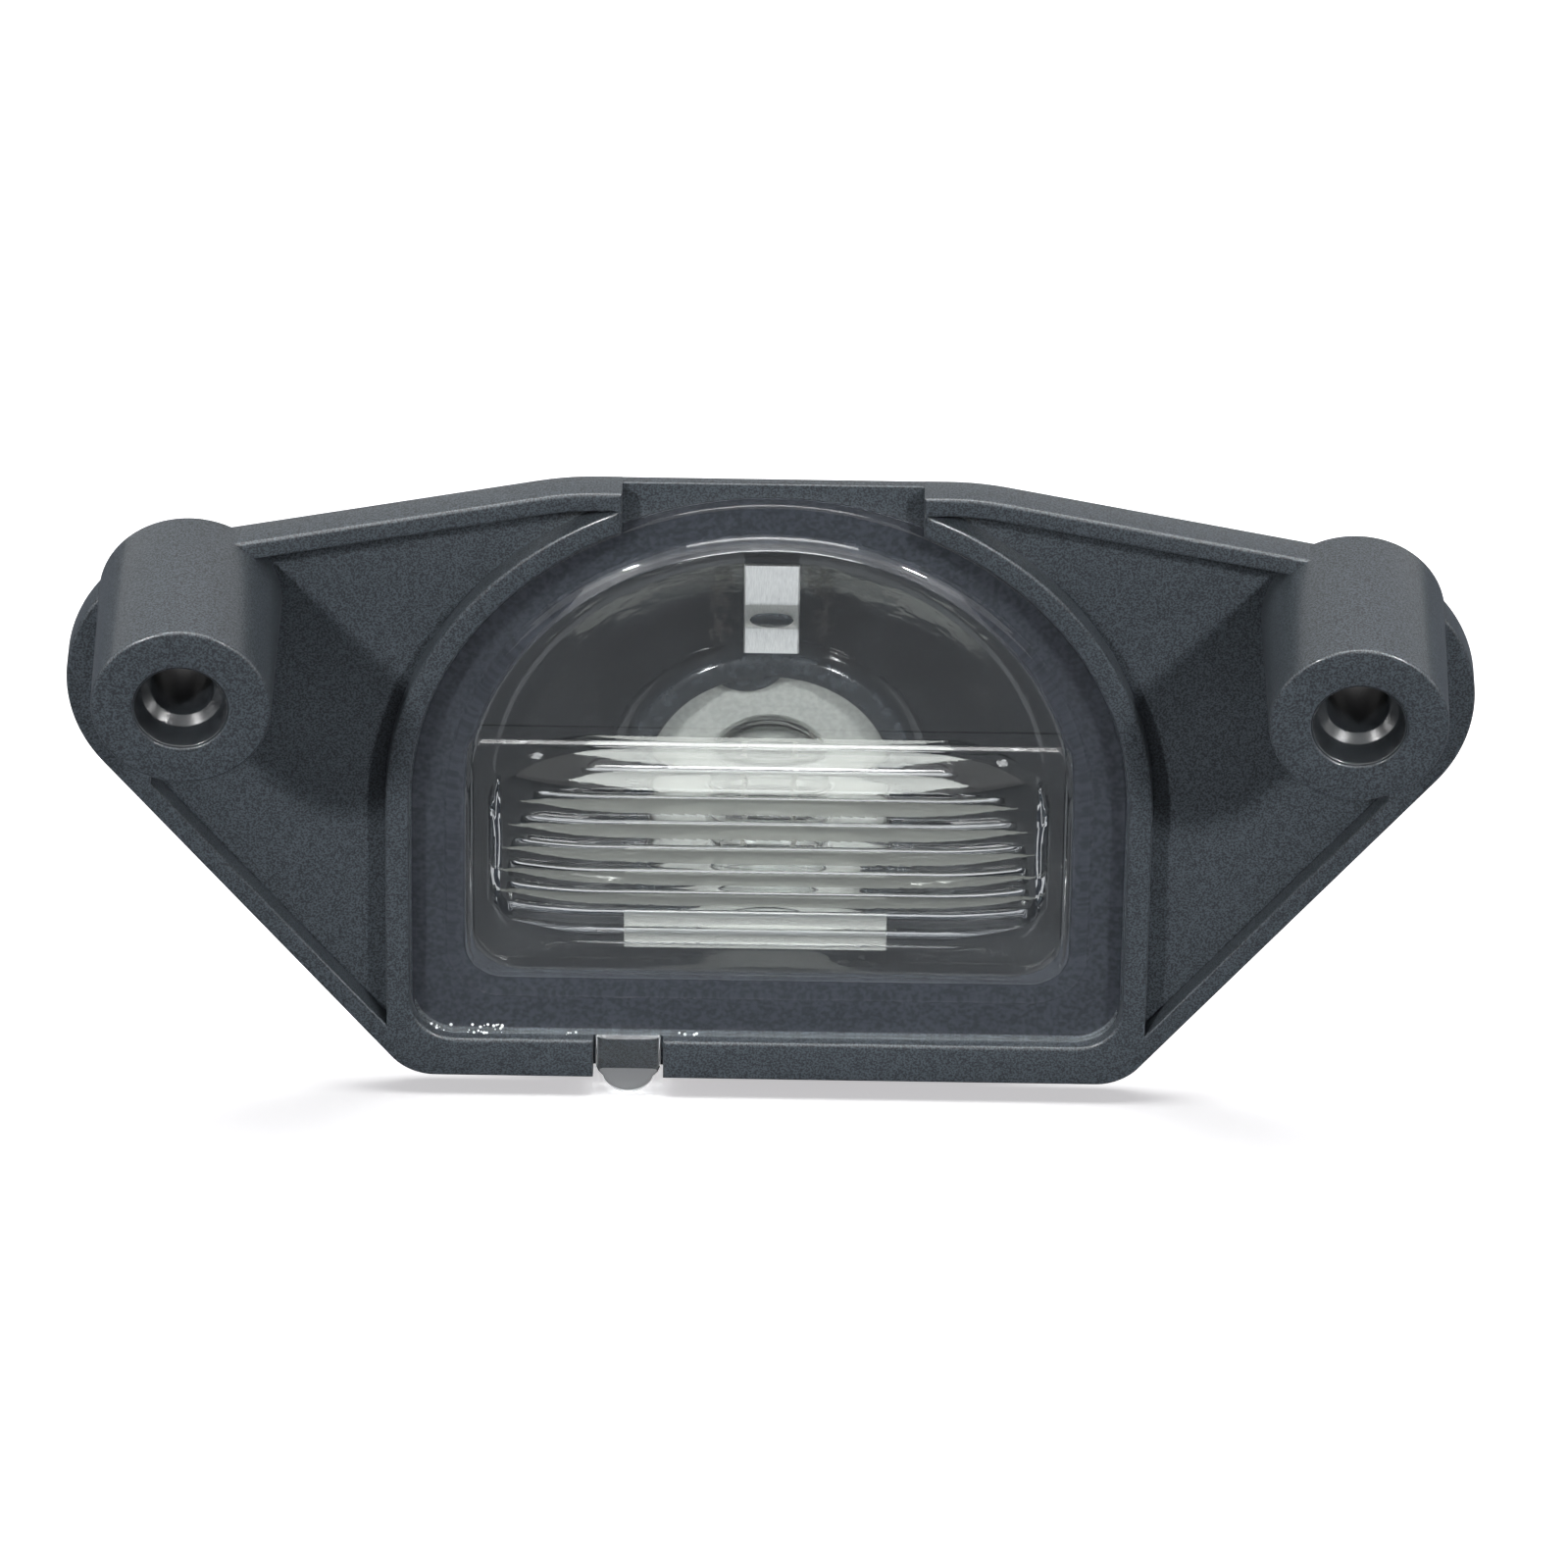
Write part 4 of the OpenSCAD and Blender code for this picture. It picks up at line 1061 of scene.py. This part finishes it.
def coil_tree(material):
    """A coil of wire wound round an arched line, hung between two points."""
    inputs = {"Turns": 12.0, "Span": 4.0, "Rise": 0.8, "Coil Radius": 0.25, "Wire Radius": 0.06}
    tree, given, result = geometry_tree("filament_coil", inputs)

    def calc(operation, a, b=0.0):
        return node(tree, "ShaderNodeMath", {0: a, 1: b}, operation=operation).outputs[0]

    line = node(tree, "GeometryNodeCurvePrimitiveLine").outputs[0]
    dense_line = node(tree, "GeometryNodeResampleCurve", {"Curve": line, "Count": 420}).outputs["Curve"]
    along = node(tree, "GeometryNodeSplineParameter").outputs["Factor"]
    angle = calc("MULTIPLY", calc("MULTIPLY", along, given["Turns"]), 2 * math.pi)
    off_middle = calc("SUBTRACT", along, 0.5)
    from_middle = calc("MULTIPLY", off_middle, 2.0)
    drop = calc("MULTIPLY", from_middle, from_middle)
    arch = calc("MULTIPLY", calc("SUBTRACT", 1.0, drop), given["Rise"])
    x = calc("MULTIPLY", off_middle, given["Span"])
    y = calc("SUBTRACT", calc("MULTIPLY", calc("COSINE", angle), given["Coil Radius"]), arch)
    z = calc("MULTIPLY", calc("SINE", angle), given["Coil Radius"])
    spot = node(tree, "ShaderNodeCombineXYZ", {"X": x, "Y": y, "Z": z}).outputs[0]
    bend = node(tree, "GeometryNodeSetPosition", {"Geometry": dense_line, "Position": spot})
    circle = node(tree, "GeometryNodeCurvePrimitiveCircle", {"Resolution": 8, "Radius": given["Wire Radius"]})
    tube = node(tree, "GeometryNodeCurveToMesh", {"Curve": bend.outputs["Geometry"], "Fill Caps": True,
                                                  "Profile Curve": circle.outputs["Curve"]})
    made_plain(tree, tube.outputs["Mesh"], material, result)
    return tree


anchor = bpy.data.meshes.new("coil_anchor")
anchor.from_pydata([(0, 0, 0)], [], [])
coil = grown("filament_coil", coil_tree(tungsten), anchor,
             {"Turns": 13.0, "Span": 4.0 * MM, "Rise": 0.45 * MM, "Coil Radius": 0.22 * MM,
              "Wire Radius": 0.055 * MM}, tungsten, ["bulb_filament"])
coil_y = 4.95
coil.data.transform(Matrix.Translation((0, coil_y * MM, port_z * MM)))


# Contacts
# Two brass strips that clasp the bulb's leads inside the socket and run out into the shroud as terminal
# blades with bevelled tips.
brass = metal("brass", (0.78, 0.60, 0.29), 0.28, (1.0, 6.0, 1.0), 700.0, 0.004)
strip_sizes = [(-33.88, 1.9, 0.22, 0), (-33.4, 2.5, 0.5, 0), (-32.9, 2.76, 0.58, 0), (-27.0, 2.76, 0.58, 0),
               (-22.0, 2.76, 0.4, 0.06), (-19.0, 2.4, 0.36, -0.08), (-17.6, 2.2, 0.36, 0.0),
               (-16.95, 1.9, 0.3, 0.1)]
for side, name in ((-1, "left"), (1, "right")):
    rows = []
    for h, w, t, off in strip_sizes:
        loop = block(side * blade_x, port_z - side * (blade_z + off), w, t, min(0.12, t * 0.3))
        rows.append([(x, h, z) for x, z in loop])
    shell(rows).piece("contact_" + name, brass, "contact", ["contact_" + name], angle=35)


# Bond crumbs
# Small pale crumbs of the bonding, squeezed out when the lens was pressed home and left along the seam at
# its foot.
crumb_white = plastic("crumb_white", (0.55, 0.57, 0.56), 0.7, 0.08, 0.2, 0.01)


def crumb_tree(material):
    """Irregular crumbs scattered on the source's faces, as many to a square millimetre as Count says."""
    per_square_mm = 1.0e6
    tree, given, result = geometry_tree("bond_crumbs", {"Count": 40, "Seed": 3, "Size": 0.2})
    crumb = node(tree, "GeometryNodeMeshIcoSphere",
                 {"Radius": given["Size"], "Subdivisions": 3}).outputs["Mesh"]
    lumps = node(tree, "ShaderNodeTexNoise", {"Scale": 4000.0}).outputs["Fac"]
    depth = node(tree, "ShaderNodeMath", {0: lumps, 1: given["Size"]}, operation="MULTIPLY").outputs[0]
    outwards = node(tree, "GeometryNodeInputNormal").outputs[0]
    push = node(tree, "ShaderNodeVectorMath", {0: outwards, "Scale": depth}, operation="SCALE").outputs[0]
    pulled = node(tree, "GeometryNodeSetPosition", {"Geometry": crumb, "Offset": push}).outputs["Geometry"]
    pick = node(tree, "FunctionNodeRandomValue", {2: 0.25, 3: 1.0, "Seed": given["Seed"]}, data_type="FLOAT")
    turn = node(tree, "FunctionNodeRandomValue", {1: (6.28, 6.28, 6.28), "Seed": given["Seed"]},
                data_type="FLOAT_VECTOR")
    density = node(tree, "ShaderNodeMath", {0: given["Count"], 1: per_square_mm}, operation="MULTIPLY")
    spread = node(tree, "GeometryNodeDistributePointsOnFaces",
                  {"Mesh": given["Geometry"], "Density": density.outputs[0],
                   "Seed": given["Seed"]}).outputs["Points"]
    each = node(tree, "GeometryNodeInstanceOnPoints",
                {"Points": spread, "Instance": pulled, "Scale": pick.outputs[1], "Rotation": turn.outputs[0]})
    made_plain(tree, each.outputs["Instances"], material, result)
    return tree


seam_y = -2.42
seams = [(-28.5, -22.0, -42.5, -41.6), (-17.0, -15.4, -42.6, -42.0), (-7.6, -5.8, -42.6, -42.1)]
corners = []
for seam in seams:
    corners += [(x * MM, seam_y * MM, z * MM) for x, z in rectangle(*seam)]
patches = bpy.data.meshes.new("crumb_patches")
patches.from_pydata(corners, [], [tuple(range(first, first + 4)) for first in range(0, len(corners), 4)])
grown("bond_crumbs", crumb_tree(crumb_white), patches,
      {"Count": 5, "Seed": 4, "Size": 0.09 * MM}, crumb_white)


# Light through the lens
# The lens and the bulb's glass are clear, so the lamps shine straight through them onto what they cover, and
# neither leaves a shadow.
clear_pieces = bpy.data.collections.new("clear_pieces")
for thing in (lens_piece, glass_piece):
    clear_pieces.objects.link(thing)
for member in clear_pieces.collection_objects:
    member.light_linking.link_state = "EXCLUDE"
for lamp in lamps:
    lamp.light_linking.blocker_collection = clear_pieces
